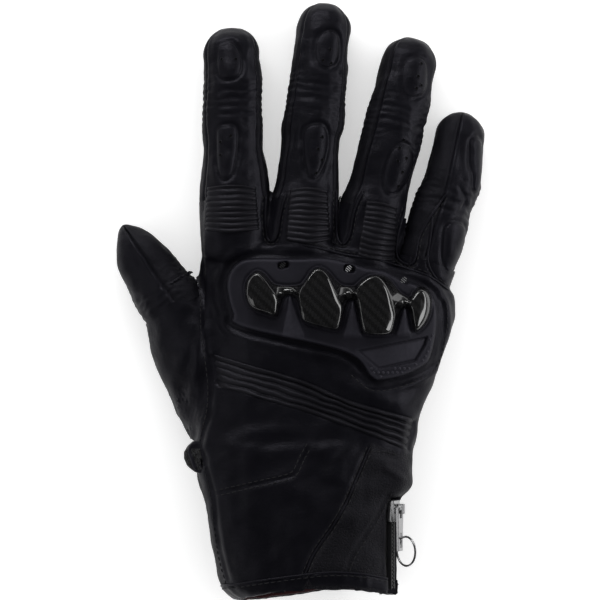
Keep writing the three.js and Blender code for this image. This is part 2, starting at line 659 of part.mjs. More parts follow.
const plateX = chainTop + slider.clearance;
const plateTop = plateX + slider.plate;
const flangeInner = stripOuter + slider.clearance;
const sliderHalf = slider.long / 2;
const pinX = plateTop + lug.lift;
const pinY = slider.y + 1;
const sliderGroup = new THREE.Group();
sliderGroup.name = "zip_slide";
sliderGroup.position.set(0, slider.y, 0);
zipFrame.add(sliderGroup);
const pullGroup = new THREE.Group();
pullGroup.name = "zip_pull_swing";
pullGroup.position.set(pinX, pinY - slider.y, 0);
sliderGroup.add(pullGroup);
function sliderBody() {
  const wide = slider.wide / 2;
  const plate = prism("x", [[-sliderHalf, -wide + 1], [sliderHalf, -wide], [sliderHalf, wide],
    [-sliderHalf, wide - 1]], plateX, plateTop);
  const flange = (side) => {
    const edges = [side * flangeInner, side * (flangeInner + slider.flange)];
    return box(chainX + 0.6, plateX + 0.2, -sliderHalf, sliderHalf,
      Math.min(...edges), Math.max(...edges));
  };
  const [x, y] = [pinX, pinY - slider.y];
  const lugBody = box(plateTop - 0.1, x + lug.half, y - lug.half, y + lug.half,
    -lug.wide / 2, lug.wide / 2);
  const hole = solid(new THREE.CylinderGeometry(lug.hole, lug.hole, 12, 16).rotateX(Math.PI / 2))
    .translate([x, y, 0]);
  return wasm.Manifold.union([plate, flange(1), flange(-1), lugBody]).subtract(hole);
}
add(sliderGroup, "zip_slider", sliderBody(), steel);

const pullTop = pull.bar / 2;
const pullEnd = pullTop - pull.long;
const slotCentre = pullEnd + 1.4 + pull.slotHalf;
const rectangle = (low, high, half) => [[low, -half], [high, -half], [high, half], [low, half]];
function pullBody() {
  const half = pull.wide / 2;
  const outline = [[pullEnd, -half + 0.7], [pullTop, -half], [pullTop, half], [pullEnd, half - 0.7]];
  const windowTop = pullTop - pull.bar;
  return prism("x", outline, -pull.thick / 2, pull.thick / 2, [
    rectangle(windowTop - pull.window, windowTop, lug.wide / 2 + 0.35),
    rectangle(slotCentre - pull.slotHalf, slotCentre + pull.slotHalf, pull.slotWide / 2),
  ]);
}
add(pullGroup, "zip_pull", pullBody(), steel);

// The ring's plane holds the pull's length, and is turned out of the pull's own plane by its tilt
const ringGroup = new THREE.Group();
ringGroup.name = "zip_ring_swing";
ringGroup.position.set(0, slotCentre, 0);
ringGroup.rotation.y = -radians(zipRing.tilt);
pullGroup.add(ringGroup);
const swing = radians(zipRing.swing);
const ringBody = solid(new THREE.TorusGeometry(zipRing.radius, zipRing.wire, 6, 32))
  .translate([zipRing.radius * Math.sin(swing), -zipRing.radius * Math.cos(swing), 0]);
add(ringGroup, "zip_ring", ringBody, steel);

// Wrist strap: it leaves an anchor at the thumb edge, crosses the palm side, and sticks to a patch
function wristBand(from, to, keep) {
  return handBody(to).subtract(handBody(from)).intersect(keep);
}
const strapFrom = 3 * seam + 2 * fleece;
const strapRegion = (x0, x1, z1, inset = 0) =>
  box(x0, x1, strap.low + inset, strap.high - inset, -40, z1);
const strapSolid = wristBand(strapFrom, strapFrom + strap.thick, strapRegion(-80, strap.endX, strap.rootZ))
  .subtract(box(0, 80, -100, 0, 20, 90))
  .subtract(thumbRootBody(seam));
add(glove, "wrist_strap", strapSolid, leather);
add(glove, "strap_hook_patch",
  wristBand(2 * seam + fleece, 2 * seam + 2 * fleece, strapRegion(-16, strap.endX - 3, 15, 2)), fabric);
add(glove, "strap_loop_patch",
  wristBand(seam, seam + fleece, strapRegion(-24, strap.endX + 12, 15, 1)), fabric);
add(glove, "strap_anchor",
  wristBand(seam, strapFrom - seam, strapRegion(-80, -36, strap.rootZ + 1.5))
    .intersect(box(-80, 0, -100, 0, strap.rootZ - 8, 90))
    .subtract(thumbRootBody(seam)), leather);

// Palm reinforcement
const patch = handBody(seam + palmPatchThick).subtract(crown)
  .intersect(prism("z", smoothOutline(palmPatch, 40), restLevel, 12));
add(glove, "palm_patch", patch, palmLeather);

// The origin lies under the middle of the whole glove
const extent = new THREE.Box3().setFromObject(glove, true);
const middle = extent.getCenter(new THREE.Vector3());
glove.position.set(-middle.x, -middle.y, -extent.min.z);

export default glove;
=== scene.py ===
import math
import bmesh
import bpy
import numpy as np
from mathutils import Matrix, Vector
from mathutils.bvhtree import BVHTree


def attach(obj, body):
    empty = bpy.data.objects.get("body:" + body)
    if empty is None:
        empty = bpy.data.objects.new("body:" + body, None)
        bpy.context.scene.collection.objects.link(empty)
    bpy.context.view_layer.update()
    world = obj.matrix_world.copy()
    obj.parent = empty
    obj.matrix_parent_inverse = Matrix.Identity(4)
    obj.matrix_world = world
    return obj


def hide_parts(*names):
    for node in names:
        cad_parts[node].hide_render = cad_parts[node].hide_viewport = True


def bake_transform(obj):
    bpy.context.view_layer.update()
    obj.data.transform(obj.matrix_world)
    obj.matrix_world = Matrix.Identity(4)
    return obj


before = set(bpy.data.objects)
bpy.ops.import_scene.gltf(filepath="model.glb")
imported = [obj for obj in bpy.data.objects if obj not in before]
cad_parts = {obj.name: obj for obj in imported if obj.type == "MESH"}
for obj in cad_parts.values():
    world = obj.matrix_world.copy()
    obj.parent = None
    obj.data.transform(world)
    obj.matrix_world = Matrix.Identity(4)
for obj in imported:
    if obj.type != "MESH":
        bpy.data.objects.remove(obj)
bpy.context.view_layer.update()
coarser = 1  # the cells of a draft's meshes are larger

# Shapes are worked out in millimetres on the glove's own plan and moved into the frame when a mesh is made
planShift = np.array([0.8554, 0.5801, -0.6])
photo = {"pixel": 0.43, "middle": (300.5, 300)}  # millimetres across one pixel, and the plan's zero


def onPlan(*spots):  # places read off the photograph, as plan millimetres
    x0, y0 = photo["middle"]
    return np.array([((x - x0) * photo["pixel"], (y0 - y) * photo["pixel"]) for x, y in spots])


def inFrame(points):  # plan millimetres as metres in the frame
    return (np.asarray(points) + planShift) / 1000


def smoothStep(low, high, value):
    t = np.clip((value - low) / (high - low), 0, 1)
    return t * t * (3 - 2 * t)


def bell(distance, width):
    return np.exp(-((distance / width) ** 2))


def unit(vectors):
    return vectors / np.maximum(np.linalg.norm(vectors, axis=-1, keepdims=True), 1e-9)


def powered(values, power):  # rounds a sine or cosine out into a fuller or flatter section
    return np.sign(values) * np.abs(values) ** power


def stepsOf(line):
    return np.linalg.norm(np.diff(line, axis=0), axis=1)


def goneAlong(line):  # the length gone at each point of a line
    return np.concatenate([[0], np.cumsum(stepsOf(line))])


def evenly(line, count):  # the same line as that many evenly spaced points
    gone = goneAlong(line)
    at = np.linspace(0, gone[-1], count)
    return np.column_stack([np.interp(at, gone, column) for column in line.T])


def spline(points, step, closed=False):  # a smooth line through the points, evenly spaced
    points = np.asarray(points, float)
    if closed:
        padded = np.vstack([points[-1], points, points[:2]])
    else:
        padded = np.vstack([2 * points[0] - points[1], points, 2 * points[-1] - points[-2]])
    t = np.linspace(0, 1, 16, endpoint=False)[:, None]
    runs = []
    for a, b, c, d in zip(padded, padded[1:], padded[2:], padded[3:]):
        runs.append(0.5 * (2 * b + (c - a) * t + (2 * a - 5 * b + 4 * c - d) * t**2
                           + (3 * b - a - 3 * c + d) * t**3))
    line = np.vstack(runs + [padded[-2]])
    even = evenly(line, max(3, int(round(goneAlong(line)[-1] / step))) + 1)
    return even[:-1] if closed else even


farOff = 1e3  # stands for a distance that is too great to matter


def lineReach(spots, line, margin=14.0):  # distance to a line and how far along it; far spots are left out
    close = np.all((spots > line.min(0) - margin) & (spots < line.max(0) + margin), axis=1)
    found = [np.full(len(spots), farOff), np.zeros(len(spots))]
    for whole, part in zip(found, closeReach(spots[close], line)):
        whole[close] = part
    return found


def closeReach(spots, line):
    best = np.full(len(spots), farOff)
    along = np.zeros(len(spots))
    gone = 0.0
    for a, b in zip(line, line[1:]):
        run = b - a
        length = np.hypot(*run)
        t = np.clip(((spots - a) @ run) / max(length**2, 1e-9), 0, 1)
        off = spots - a - t[:, None] * run
        distance = np.hypot(off[:, 0], off[:, 1])
        near = distance < best
        best = np.where(near, distance, best)
        along = np.where(near, gone + t * length, along)
        gone += length
    return best, along


def insideReach(spots, outline):  # distance to a closed outline, positive inside it
    ring = np.vstack([outline, outline[:1]])
    distance = lineReach(spots, ring)[0]
    close = np.flatnonzero(distance < farOff)
    x, y = spots[close].T
    within = np.zeros(len(close), bool)
    for (ax, ay), (bx, by) in zip(ring, ring[1:]):
        if ay != by:
            within ^= ((ay > y) != (by > y)) & (x < (bx - ax) * (y - ay) / (by - ay) + ax)
    inside = np.zeros(len(spots), bool)
    inside[close] = within
    return np.where(inside, distance, -distance)


# Camera, light and floor
stage = {
    "lens": 200, "sensor": 36, "viewWide": 0.258, "middle": (0.00064, 0.00058), "height": 0.02,
    "floor": (0.86, 0.86, 0.86), "floorPale": (0.88, 0.88, 0.88), "floorHalf": 4, "floorLow": -0.0003,
    "floorGlow": 0.4, "farGlow": 0.3, "around": 0.74, "zenith": 0.02, "horizon": 0.26, "horizonSoft": 2.6,
    "lamps": {  # place, width, length, watts
        "softRight": ((0.85, 0.05, 0.55), 0.42, 0.9, 0.12),
        "softTop": ((-0.12, 0.95, 0.75), 0.9, 0.35, 1.55),
        "softLeft": ((-0.9, -0.15, 0.75), 0.5, 0.7, 0.9),
        "stripRight": ((0.6, 0.12, 0.32), 0.2, 0.68, 1.35),
        "stripTop": ((-0.22, 0.62, 0.37), 0.5, 0.045, 1.1),
    },
}
cameraData = bpy.data.cameras.new("camera")
cameraData.lens, cameraData.sensor_width = stage["lens"], stage["sensor"]
camera = bpy.data.objects.new("camera", cameraData)
camera.location = (*stage["middle"], stage["viewWide"] / stage["sensor"] * stage["lens"] + stage["height"])
bpy.context.scene.collection.objects.link(camera)
bpy.context.scene.camera = camera
bpy.context.scene.view_settings.view_transform = "Standard"
for name, (place, wide, long, watts) in stage["lamps"].items():
    lampData = bpy.data.lights.new(name, "AREA")
    lampData.shape, lampData.size, lampData.size_y, lampData.energy = "RECTANGLE", wide, long, watts
    lamp = bpy.data.objects.new(name, lampData)
    outward = Vector(place).normalized()
    across = Vector((0, 1, 0)).cross(outward) if abs(outward.y) < 0.7 else Vector((1, 0, 0))
    across = (across - outward * across.dot(outward)).normalized()
    facing = Matrix((across, outward.cross(across), outward)).transposed().to_4x4()
    lamp.matrix_world = Matrix.Translation(place) @ facing
    bpy.context.scene.collection.objects.link(lamp)

unevenness = {"seed": 7, "waves": 14, "calm": 4.2}  # shared by every softly uneven surface
waveRandom = np.random.default_rng(unevenness["seed"])
waves = [(unit(waveRandom.normal(size=3)), waveRandom.uniform(0, 6.28)) for _ in range(unevenness["waves"])]


def ripple(points, length):  # a soft uneven wave of about that wavelength, from -1 to 1
    total = np.zeros(len(points))
    for i, (way, start) in enumerate(waves):
        total += np.sin(points @ way * (6.283 / length) * (0.75 + 0.06 * i) + start)
    return total / unevenness["calm"]


# Materials
paints = {}  # the finished materials, by name


class Sock:  # one output of a shader node, with arithmetic that adds Math nodes
    def __init__(self, paint, socket):
        self.paint, self.socket = paint, socket

    def math(self, operation, *others, clamp=False):
        return self.paint.value(operation, self, *others, clamp=clamp)

    def __add__(self, other):
        return self.math("ADD", other)

    def __sub__(self, other):
        return self.math("SUBTRACT", other)

    def __rsub__(self, other):
        return self.paint.value("SUBTRACT", other, self)

    def __mul__(self, other):
        return self.math("MULTIPLY", other)

    __radd__, __rmul__ = __add__, __mul__

    def held(self):  # kept between 0 and 1
        return self.math("ADD", 0.0, clamp=True)


class Made:  # a node whose outputs can be taken as socks
    def __init__(self, paint, node):
        self.paint, self.node = paint, node

    def out(self, name=0):
        return Sock(self.paint, self.node.outputs[name])


class Paint:  # one procedural material, or the world's own nodes
    def __init__(self, name, tree=None):
        self.name = name
        if tree is None:
            self.material = bpy.data.materials.new(name)
            self.material.use_nodes = True
        self.tree = tree or self.material.node_tree
        self.tree.nodes.clear()
        output = self.tree.nodes.new("ShaderNodeOutputWorld" if tree else "ShaderNodeOutputMaterial")
        self.surface = output.inputs[0]

    def node(self, kind, settings=None, sockets=None):
        node = self.tree.nodes.new(kind)
        for key, value in (settings or {}).items():
            setattr(node, key, value)
        for key, value in (sockets or {}).items():
            self.put(node.inputs[key], value)
        return Made(self, node)

    def put(self, socket, value):
        if isinstance(value, Sock):
            self.tree.links.new(value.socket, socket)
        else:
            socket.default_value = value

    def value(self, operation, *terms, clamp=False):
        settings = {"operation": operation, "use_clamp": clamp}
        return self.node("ShaderNodeMath", settings, dict(enumerate(terms))).out()

    def attribute(self, name, part="Vector"):
        return self.node("ShaderNodeAttribute", {"attribute_name": name}).out(part)

    def noise(self, where, scale, detail=3.0, rough=0.5):
        sockets = {"Vector": where, "Scale": scale, "Detail": detail, "Roughness": rough}
        return self.node("ShaderNodeTexNoise", {}, sockets).out("Fac")

    def cells(self, where, scale, feature="F1", jitter=1.0):
        sockets = {"Vector": where, "Scale": scale, "Randomness": jitter}
        return self.node("ShaderNodeTexVoronoi", {"feature": feature}, sockets).out("Distance")

    def bands(self, where, scale, way, distortion, detail=2.0):
        sockets = {"Vector": where, "Scale": scale, "Distortion": distortion, "Detail": detail}
        return self.node("ShaderNodeTexWave", {"bands_direction": way}, sockets).out("Fac")

    def mixColour(self, amount, first, second):
        made = self.node("ShaderNodeMix", {"data_type": "RGBA"}, {0: amount})
        for socket, value in zip((6, 7), (first, second)):
            self.put(made.node.inputs[socket], value if isinstance(value, Sock) else (*value, 1))
        return made.out(2)

    def stretched(self, where, scale):
        return self.node("ShaderNodeVectorMath", {"operation": "MULTIPLY"}, {0: where, 1: scale}).out()

    def bump(self, height, strength, distance, **under):
        sockets = {"Height": height, "Strength": strength, "Distance": distance, **under}
        return self.node("ShaderNodeBump", {}, sockets).out()

    def finish(self, sockets, fixed):  # sockets vary over the surface, fixed ones don't
        shader = self.node("ShaderNodeBsdfPrincipled", {}, {**fixed, **sockets})
        self.put(self.surface, shader.out())
        paints[self.name] = self.material


def fresh(name):  # a new material, and the place on the piece that its patterns follow
    paint = Paint(name)
    return paint, paint.attribute("rest")


leatherLooks = {
    "leather": {"dark": (0.0017, 0.0017, 0.0029), "pale": (0.0037, 0.0036, 0.0056),
                "worn": (0.0098, 0.0094, 0.0124), "shine": 0.36, "spread": 0.14, "grain": 0.75,
                "depth": 0.4, "level": 0.22},
    "palmLeather": {"dark": (0.0023, 0.0023, 0.0034), "pale": (0.005, 0.0049, 0.0068),
                    "worn": (0.013, 0.0126, 0.0152), "shine": 0.5, "spread": 0.12, "grain": 0.62,
                    "depth": 0.7, "level": 0.21},
    "stretchLeather": {"dark": (0.0021, 0.0021, 0.003), "pale": (0.0044, 0.0043, 0.0058),
                       "worn": (0.0115, 0.011, 0.0132), "shine": 0.38, "spread": 0.12, "grain": 0.8,
                       "depth": 0.35, "level": 0.26},
    "grainedLeather": {"dark": (0.0022, 0.0022, 0.0028), "pale": (0.0054, 0.0052, 0.0064),
                       "worn": (0.013, 0.0125, 0.0145), "shine": 0.44, "spread": 0.1, "grain": 1.35,
                       "depth": 1.7, "level": 0.22, "wrinkles": (0.95, 0.0009)},
}


def leatherPaint(name, look):
    paint, where = fresh(name)
    pores = paint.cells(where, 1.0 / look["grain"], "DISTANCE_TO_EDGE")
    fine = paint.noise(where, 2.6, 4.0, 0.6)
    broad = paint.noise(where, 0.09, 3.0, 0.55)
    fineness, wrinkled = look.get("wrinkles", (0.42, 0.0004))
    creased = paint.noise(paint.stretched(where, (0.5, 1.6, 1.0)), fineness, 4.0, 0.62)
    wear = (paint.attribute("wear", "Fac") * (0.4 + 1.2 * broad)).held()
    mixed = paint.mixColour((broad * 1.6 - 0.3).held(), look["dark"], look["pale"])
    colour = paint.mixColour(wear, mixed, look["worn"])
    valleys = (pores * 6.0).held()
    roughness = look["shine"] + look["spread"] * (fine - 0.5) + 0.12 * (broad - 0.5) + 0.1 * (1 - valleys)
    grain = paint.bump(valleys * 0.7 + fine * 0.5, look["depth"] * 0.6, 0.00012)
    surface = paint.bump(creased, 0.35, wrinkled, Normal=grain)
    paint.finish({"Base Color": colour, "Roughness": roughness.held(), "Normal": surface},
                 {"Specular IOR Level": look["level"], "Specular Tint": (0.87, 0.85, 1, 1)})


for name, look in leatherLooks.items():
    leatherPaint(name, look)


def seenRays(paint):  # each is 1 for rays of its kind
    rays = paint.node("ShaderNodeLightPath")
    return [rays.out(f"Is {kind} Ray") for kind in ("Camera", "Glossy", "Transmission")]


world = bpy.data.worlds.new("studio")
world.use_nodes = True
bpy.context.scene.world = world
white = (1, 1, 1, 1)
paint = Paint("studio", world.node_tree)
straight, glossy, through = seenRays(paint)
way = paint.node("ShaderNodeSeparateXYZ", {}, {0: paint.node("ShaderNodeTexCoord").out("Generated")}).out("Z")
low = (1 - way.math("ABSOLUTE") * stage["horizonSoft"]).held()
reflected = stage["zenith"] + (stage["horizon"] - stage["zenith"]) * low * low
level = stage["around"] * (1 - (straight + glossy + through).held()) + straight
level = level + (glossy + through).held() * reflected
paint.put(paint.surface, paint.node("ShaderNodeBackground", {}, {"Color": white, "Strength": level}).out())

paint = Paint("studioFloor")
straight, glossy, through = seenRays(paint)
where = paint.node("ShaderNodeTexCoord").out("Object")
matt = paint.node("ShaderNodeBsdfPrincipled", {}, {
    "Base Color": paint.mixColour(paint.noise(where, 3.0), stage["floor"], stage["floorPale"]),
    "Roughness": 0.9, "Specular IOR Level": 0.0, "Emission Color": white, "Emission Strength": 0.0}).out()
spread = paint.node("ShaderNodeVectorMath", {"operation": "LENGTH"}, {0: where}).out("Value")
farther = ((spread - 0.3) * 0.7).held()
glow = {"Color": white, "Strength": stage["floorGlow"] + stage["farGlow"] * farther}
bright = paint.node("ShaderNodeEmission", {}, glow).out()
both = paint.node("ShaderNodeAddShader", {}, {0: matt, 1: bright}).out()
seen = paint.node("ShaderNodeMixShader", {}, {0: (straight + through).held(), 1: matt, 2: both})
paint.put(paint.surface, seen.out())
floorMesh = bpy.data.meshes.new("studio_floor")
floorMesh.from_pydata([(x * stage["floorHalf"], y * stage["floorHalf"], stage["floorLow"])
                       for x, y in ((-1, -1), (1, -1), (1, 1), (-1, 1))], [], [(0, 1, 2, 3)])
floor = bpy.data.objects.new("studio_floor", floorMesh)
floor.data.materials.append(paint.material)
bpy.context.scene.collection.objects.link(floor)
print("materials and stage ready")


def makePiece(name, points, faces, finish, body=None, wear=None, node=None):
    points = np.asarray(points, float)
    groups = faces if isinstance(faces, list) else [faces]
    groups = [np.asarray(group, np.int32) for group in groups if len(group)]
    mesh = bpy.data.meshes.new(name)
    mesh.vertices.add(len(points))
    mesh.vertices.foreach_set("co", inFrame(points).astype(np.float32).ravel())
    corners = np.concatenate([group.ravel() for group in groups])
    counts = np.concatenate([np.full(len(group), group.shape[1]) for group in groups])
    mesh.loops.add(len(corners))
    mesh.loops.foreach_set("vertex_index", corners)
    mesh.polygons.add(len(counts))
    mesh.polygons.foreach_set("loop_start", (np.cumsum(counts) - counts).astype(np.int32))
    mesh.update(calc_edges=True)
    mesh.shade_smooth()
    rest = mesh.attributes.new("rest", "FLOAT_VECTOR", "POINT")
    rest.data.foreach_set("vector", points.astype(np.float32).ravel())
    if wear is not None:
        worn = mesh.attributes.new("wear", "FLOAT", "POINT")
        worn.data.foreach_set("value", np.clip(wear, 0, 1).astype(np.float32))
    made = bpy.data.objects.new(name, mesh)
    bpy.context.scene.collection.objects.link(made)
    made.data.materials.append(paints[finish])
    if body:
        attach(made, body)
    if node:
        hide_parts(node)
    return made


def gridFaces(rows, columns, closed=False):
    wide = columns if closed else columns - 1
    a = (np.arange(rows - 1)[:, None] * columns + np.arange(wide)).ravel()
    ahead = (np.arange(rows - 1)[:, None] * columns + (np.arange(wide) + 1) % columns).ravel()
    return np.column_stack([a, ahead, ahead + columns, a + columns])


def gridNormals(grid, closed):
    along = np.gradient(grid, axis=0)
    if closed:
        around = (np.roll(grid, -1, axis=1) - np.roll(grid, 1, axis=1)) / 2
    else:
        around = np.gradient(grid, axis=1)
    return unit(np.cross(around, along))


# The skin's shapes

handShape = {
    # level, left, right, bottom, top, skew, bow, lean
    "sections": [
        (-140, -16, 41, 2.4, 48, -0.03, 0, 0.12), (-128, -27.2, 41, 2.4, 48, -0.03, 0, 0.12),
        (-125, -31.4, 41, 2.4, 48, -0.03, 0, 0.12), (-121, -34.2, 41, 2.4, 48, -0.03, 0, 0.12),
        (-113, -36.4, 41, 2.6, 48, -0.03, 0, 0.12), (-100, -38.7, 41, 3.6, 48, 0, 0, 0.05),
        (-91, -40.6, 41, 4.6, 47.6, 0, 0, 0), (-85.5, -41.6, 41.6, 5.2, 47, 0, 0, 0),
        (-80, -43.2, 45.8, 6, 46.3, 0, 0, 0), (-66, -45, 47.6, 6.6, 44, 0, 0, 0),
        (-50, -44, 51.5, 4.4, 41.5, 0, 0, 0), (-35, -42, 57, 2.6, 39.7, 0, 0, 0),
        (-15, -41.6, 63, 2, 38.5, 0.01, 0.0005, 0), (1, -42, 66.3, 2, 37, 0.03, 0.0015, 0),
        (14, -42.8, 66.8, 2.8, 34.5, 0.045, 0.003, 0), (25, -42.8, 66, 6, 31, 0.06, 0.0045, 0),
        (40, -42.8, 66, 6, 31, 0.06, 0.0045, 0),
    ],
    "power": 2.5, "end": 25, "cellSize": 0.85, "join": 3.0, "soften": 2.4,
}
levels = np.arange(-140, 40, 0.5)
sections = np.array(handShape["sections"], float)
soften = np.exp(-(np.arange(-16, 17) * 0.5 / handShape["soften"]) ** 2)
sectionAt = []
for column in sections[:, 1:].T:
    plain = np.interp(levels, sections[:, 0], column)
    ends = np.concatenate([np.full(16, plain[0]), plain, np.full(16, plain[-1])])
    sectionAt.append(np.convolve(ends, soften / soften.sum(), "valid"))


def handLevel(points):  # where along the hand a point's own cross-section lies
    x, y, z = points.T
    level = y.copy()
    for _ in range(3):
        bottom, top, skew, bow, lean = (np.interp(level, levels, c) for c in sectionAt[2:])
        level = y - lean * (z - (bottom + top) / 2) + skew * x + bow * x * x
    return level


def ovalReach(x, z, wide, high, power):  # rough distance outside an oval section
    rel = (np.abs(x / wide) ** power + np.abs(z / high) ** power) ** (1 / power)
    return np.hypot(x, z) * (1 - 1 / np.maximum(rel, 0.02))


def handReach(points):  # rough distance outside the hand's skin
    level = handLevel(points)
    left, right, bottom, top = (np.interp(level, levels, c) for c in sectionAt[:4])
    reach = ovalReach(points[:, 0] - (left + right) / 2, points[:, 2] - (bottom + top) / 2,
                      (right - left) / 2, (top - bottom) / 2, handShape["power"])
    return smoothMost(reach, level - handShape["end"] + 1.5, 5.0)


def smoothLeast(a, b, width):
    h = np.clip(0.5 + 0.5 * (b - a) / width, 0, 1)
    return b * (1 - h) + a * h - width * h * (1 - h)


def smoothMost(a, b, width):
    return -smoothLeast(-a, -b, width)


def turned(pitch, roll, splay):  # the axes of a finger's frame, as columns
    rx, ry, rz = (math.radians(v) for v in (-pitch, roll, -splay))
    aboutX = np.array([[1, 0, 0], [0, math.cos(rx), -math.sin(rx)], [0, math.sin(rx), math.cos(rx)]])
    aboutY = np.array([[math.cos(ry), 0, math.sin(ry)], [0, 1, 0], [-math.sin(ry), 0, math.cos(ry)]])
    aboutZ = np.array([[math.cos(rz), -math.sin(rz), 0], [math.sin(rz), math.cos(rz), 0], [0, 0, 1]])
    return aboutZ @ aboutX @ aboutY


# left and right hold the half widths along the finger, seams the angles of its two side seams,
# bend the part that folds at the root, and creases the lines of the fold at the first joint
fingerShapes = {
    "index": {
        "base": (-29.3, 38.5, 20.3), "turn": (4, 0, -0.3), "tipTurn": (6, 0, 0),
        "mid": 46.6, "tip": 32.9, "cap": 12.2, "capPower": 2.2, "flat": 0.84,
        "left": [(-30, 12.2), (0, 14.2), (8, 14), (17, 12.8), (27, 12.4), (40, 12.8), (52, 12.4),
                 (66, 12.3)],
        "right": [(-30, 13), (0, 16.6), (8, 16.3), (17, 15.1), (27, 13.4), (40, 13.3), (50, 13.2),
                  (58, 13.3), (66, 12.3)],
        "seams": (-60, 58), "bend": (3.5, 14), "crease": 7,
        "creases": [(40.5, 0.5, 1.2, 0.5), (43.6, 0.2, 0.7, 1.2), (47, 0.6, 1.1, 1.0),
                    (50.2, 0.2, 0.6, 0.4)],
    },
    "middle": {
        "base": (1.7, 35.7, 20.6), "turn": (4, 0, 5.8), "tipTurn": (4, 0, 0.7),
        "mid": 50.6, "tip": 42.9, "cap": 12, "capPower": 2.2, "flat": 0.84,
        "left": [(-30, 13.5), (2, 15.6), (9, 14.8), (15, 13.7), (30, 13.1), (38, 13.6), (46, 12.9),
                 (61, 12.4), (72, 12), (80.5, 12)],
        "right": [(-30, 13.5), (2, 14.8), (9, 13.9), (15, 13.2), (22, 12.3), (34, 11.7), (40, 12.9),
                  (50, 12.7), (61, 12.4), (72, 11.4), (80.5, 11.4)],
        "seams": (-52, 60), "bend": (6, 16), "crease": 7,
        "creases": [(45.5, 0.25, 0.8, 0.6), (50, 0.55, 1.2, 0.9), (53.2, 0.2, 0.7, 0.4),
                    (56, 0.5, 1.0, 0.8)],
    },
    "ring": {
        "base": (30.1, 32.3, 20.3), "turn": (4, 0, 13.6), "tipTurn": (5, 0, -2.4),
        "mid": 45.3, "tip": 38.2, "cap": 11.8, "capPower": 2.2, "flat": 0.84,
        "left": [(-30, 13.6), (4, 15.2), (12.7, 13.9), (18, 13.1), (29, 13.2), (45, 12.9),
                 (55, 12.1), (66, 11.2), (70, 11)],
        "right": [(-30, 13.6), (4, 13.8), (12.7, 12.8), (18, 12.4), (30, 13), (45, 13.1),
                  (60, 13.2), (66, 12.9), (70, 12.7)],
        "seams": (-40, 74), "bend": (6, 16), "crease": 7,
        "creases": [(41, 0.25, 0.8, 0.2), (44.6, 0.6, 1.2, 0.6), (47.6, 0.2, 0.7, 0.8),
                    (50, 0.5, 0.9, 0.9)],
    },
    "little": {
        "base": (53.9, 13.8, 18.6), "turn": (4, 0, 17), "tipTurn": (5, 0, -5),
        "mid": 30.4, "tip": 39.6, "cap": 11.2, "capPower": 2.0, "flat": 0.86,
        "left": [(-30, 12.7), (5, 13.2), (20, 13.6), (27, 13.4), (32, 12.8), (38, 11.4), (43, 11.1),
                 (50, 10.6), (58, 10.5)],
        "right": [(-30, 12.7), (5, 12.1), (16, 12.4), (22, 12.4), (27, 11.5), (32, 12.4),
                  (38, 13.4), (43, 12.9), (50, 12.1), (58, 10.8)],
        "seams": (-8, 112), "bend": (2, 14), "crease": 6,
        "creases": [(25.6, 0.5, 0.9, -0.6), (29.2, 0.8, 1.1, -0.4), (33, 0.5, 0.8, 0.5)],
    },
    "thumb": {
        "base": (-57.3, 1.6, 16.2), "turn": (5, -20, -32.5), "tipTurn": (0, 0, 0),
        "mid": 0, "tip": 36.6, "cap": 20, "capPower": 1.55, "flat": 0.84,
        "left": [(-30, 14.2), (0, 14.3), (8, 13.7), (17, 12.7)],
        "right": [(-30, 14.2), (-2, 14.6), (4, 13), (10, 11.9), (17, 11.2)],
        "seams": (-84, 22), "bend": (-5, 5), "crease": 5,
        "creases": [(-3.6, 0.5, 0.9, 0.3), (0.4, 0.45, 0.8, 0.5), (3.8, 0.3, 0.8, 0.2)],
    },
}
for shape in fingerShapes.values():
    shape["base"] = np.array(shape["base"])
    shape["axes"] = turned(*shape["turn"])
    shape["tipAxes"] = shape["axes"] @ turned(*shape["tipTurn"])
    shape["knee"] = shape["base"] + shape["axes"][:, 1] * shape["mid"]
    shape["capFrom"] = shape["mid"] + shape["tip"] - shape["cap"]
    for side in ("left", "right"):
        stations = spline(shape[side], 1.0)
        shape[side] = stations[np.argsort(stations[:, 0])]


def fingerWide(shape, along, rightward):
    left = np.interp(along, *shape["left"].T)
    right = np.interp(along, *shape["right"].T)
    return np.where(rightward, right, left), (left + right) / 2


kneeHalf = 8  # the turn of a fingertip is shared over this length on each side of its first joint
fingerPower = 2.1


def fingerCoords(shape, points):  # across, along and above the finger's own middle line
    root = (points - shape["base"]) @ shape["axes"]
    end = (points - shape["knee"]) @ shape["tipAxes"]
    end[:, 1] += shape["mid"]
    share = smoothStep(shape["mid"] - kneeHalf, shape["mid"] + kneeHalf, root[:, 1])[:, None]
    return root * (1 - share) + end * share


def fingerReach(shape, points, grow=0.0):
    x, along, z = fingerCoords(shape, points).T
    wide, half = fingerWide(shape, along, x > 0)
    reach = ovalReach(x, z, wide + grow, half * shape["flat"] + grow, fingerPower)
    return smoothMost(reach, -24 - along, 8.0)


kneeTurn = np.linspace(-kneeHalf, kneeHalf, 81)
kneeShare = smoothStep(-kneeHalf, kneeHalf, kneeTurn)
kneeGone = np.concatenate([[0], np.cumsum((kneeShare[1:] + kneeShare[:-1]) / 2 * 0.2)])


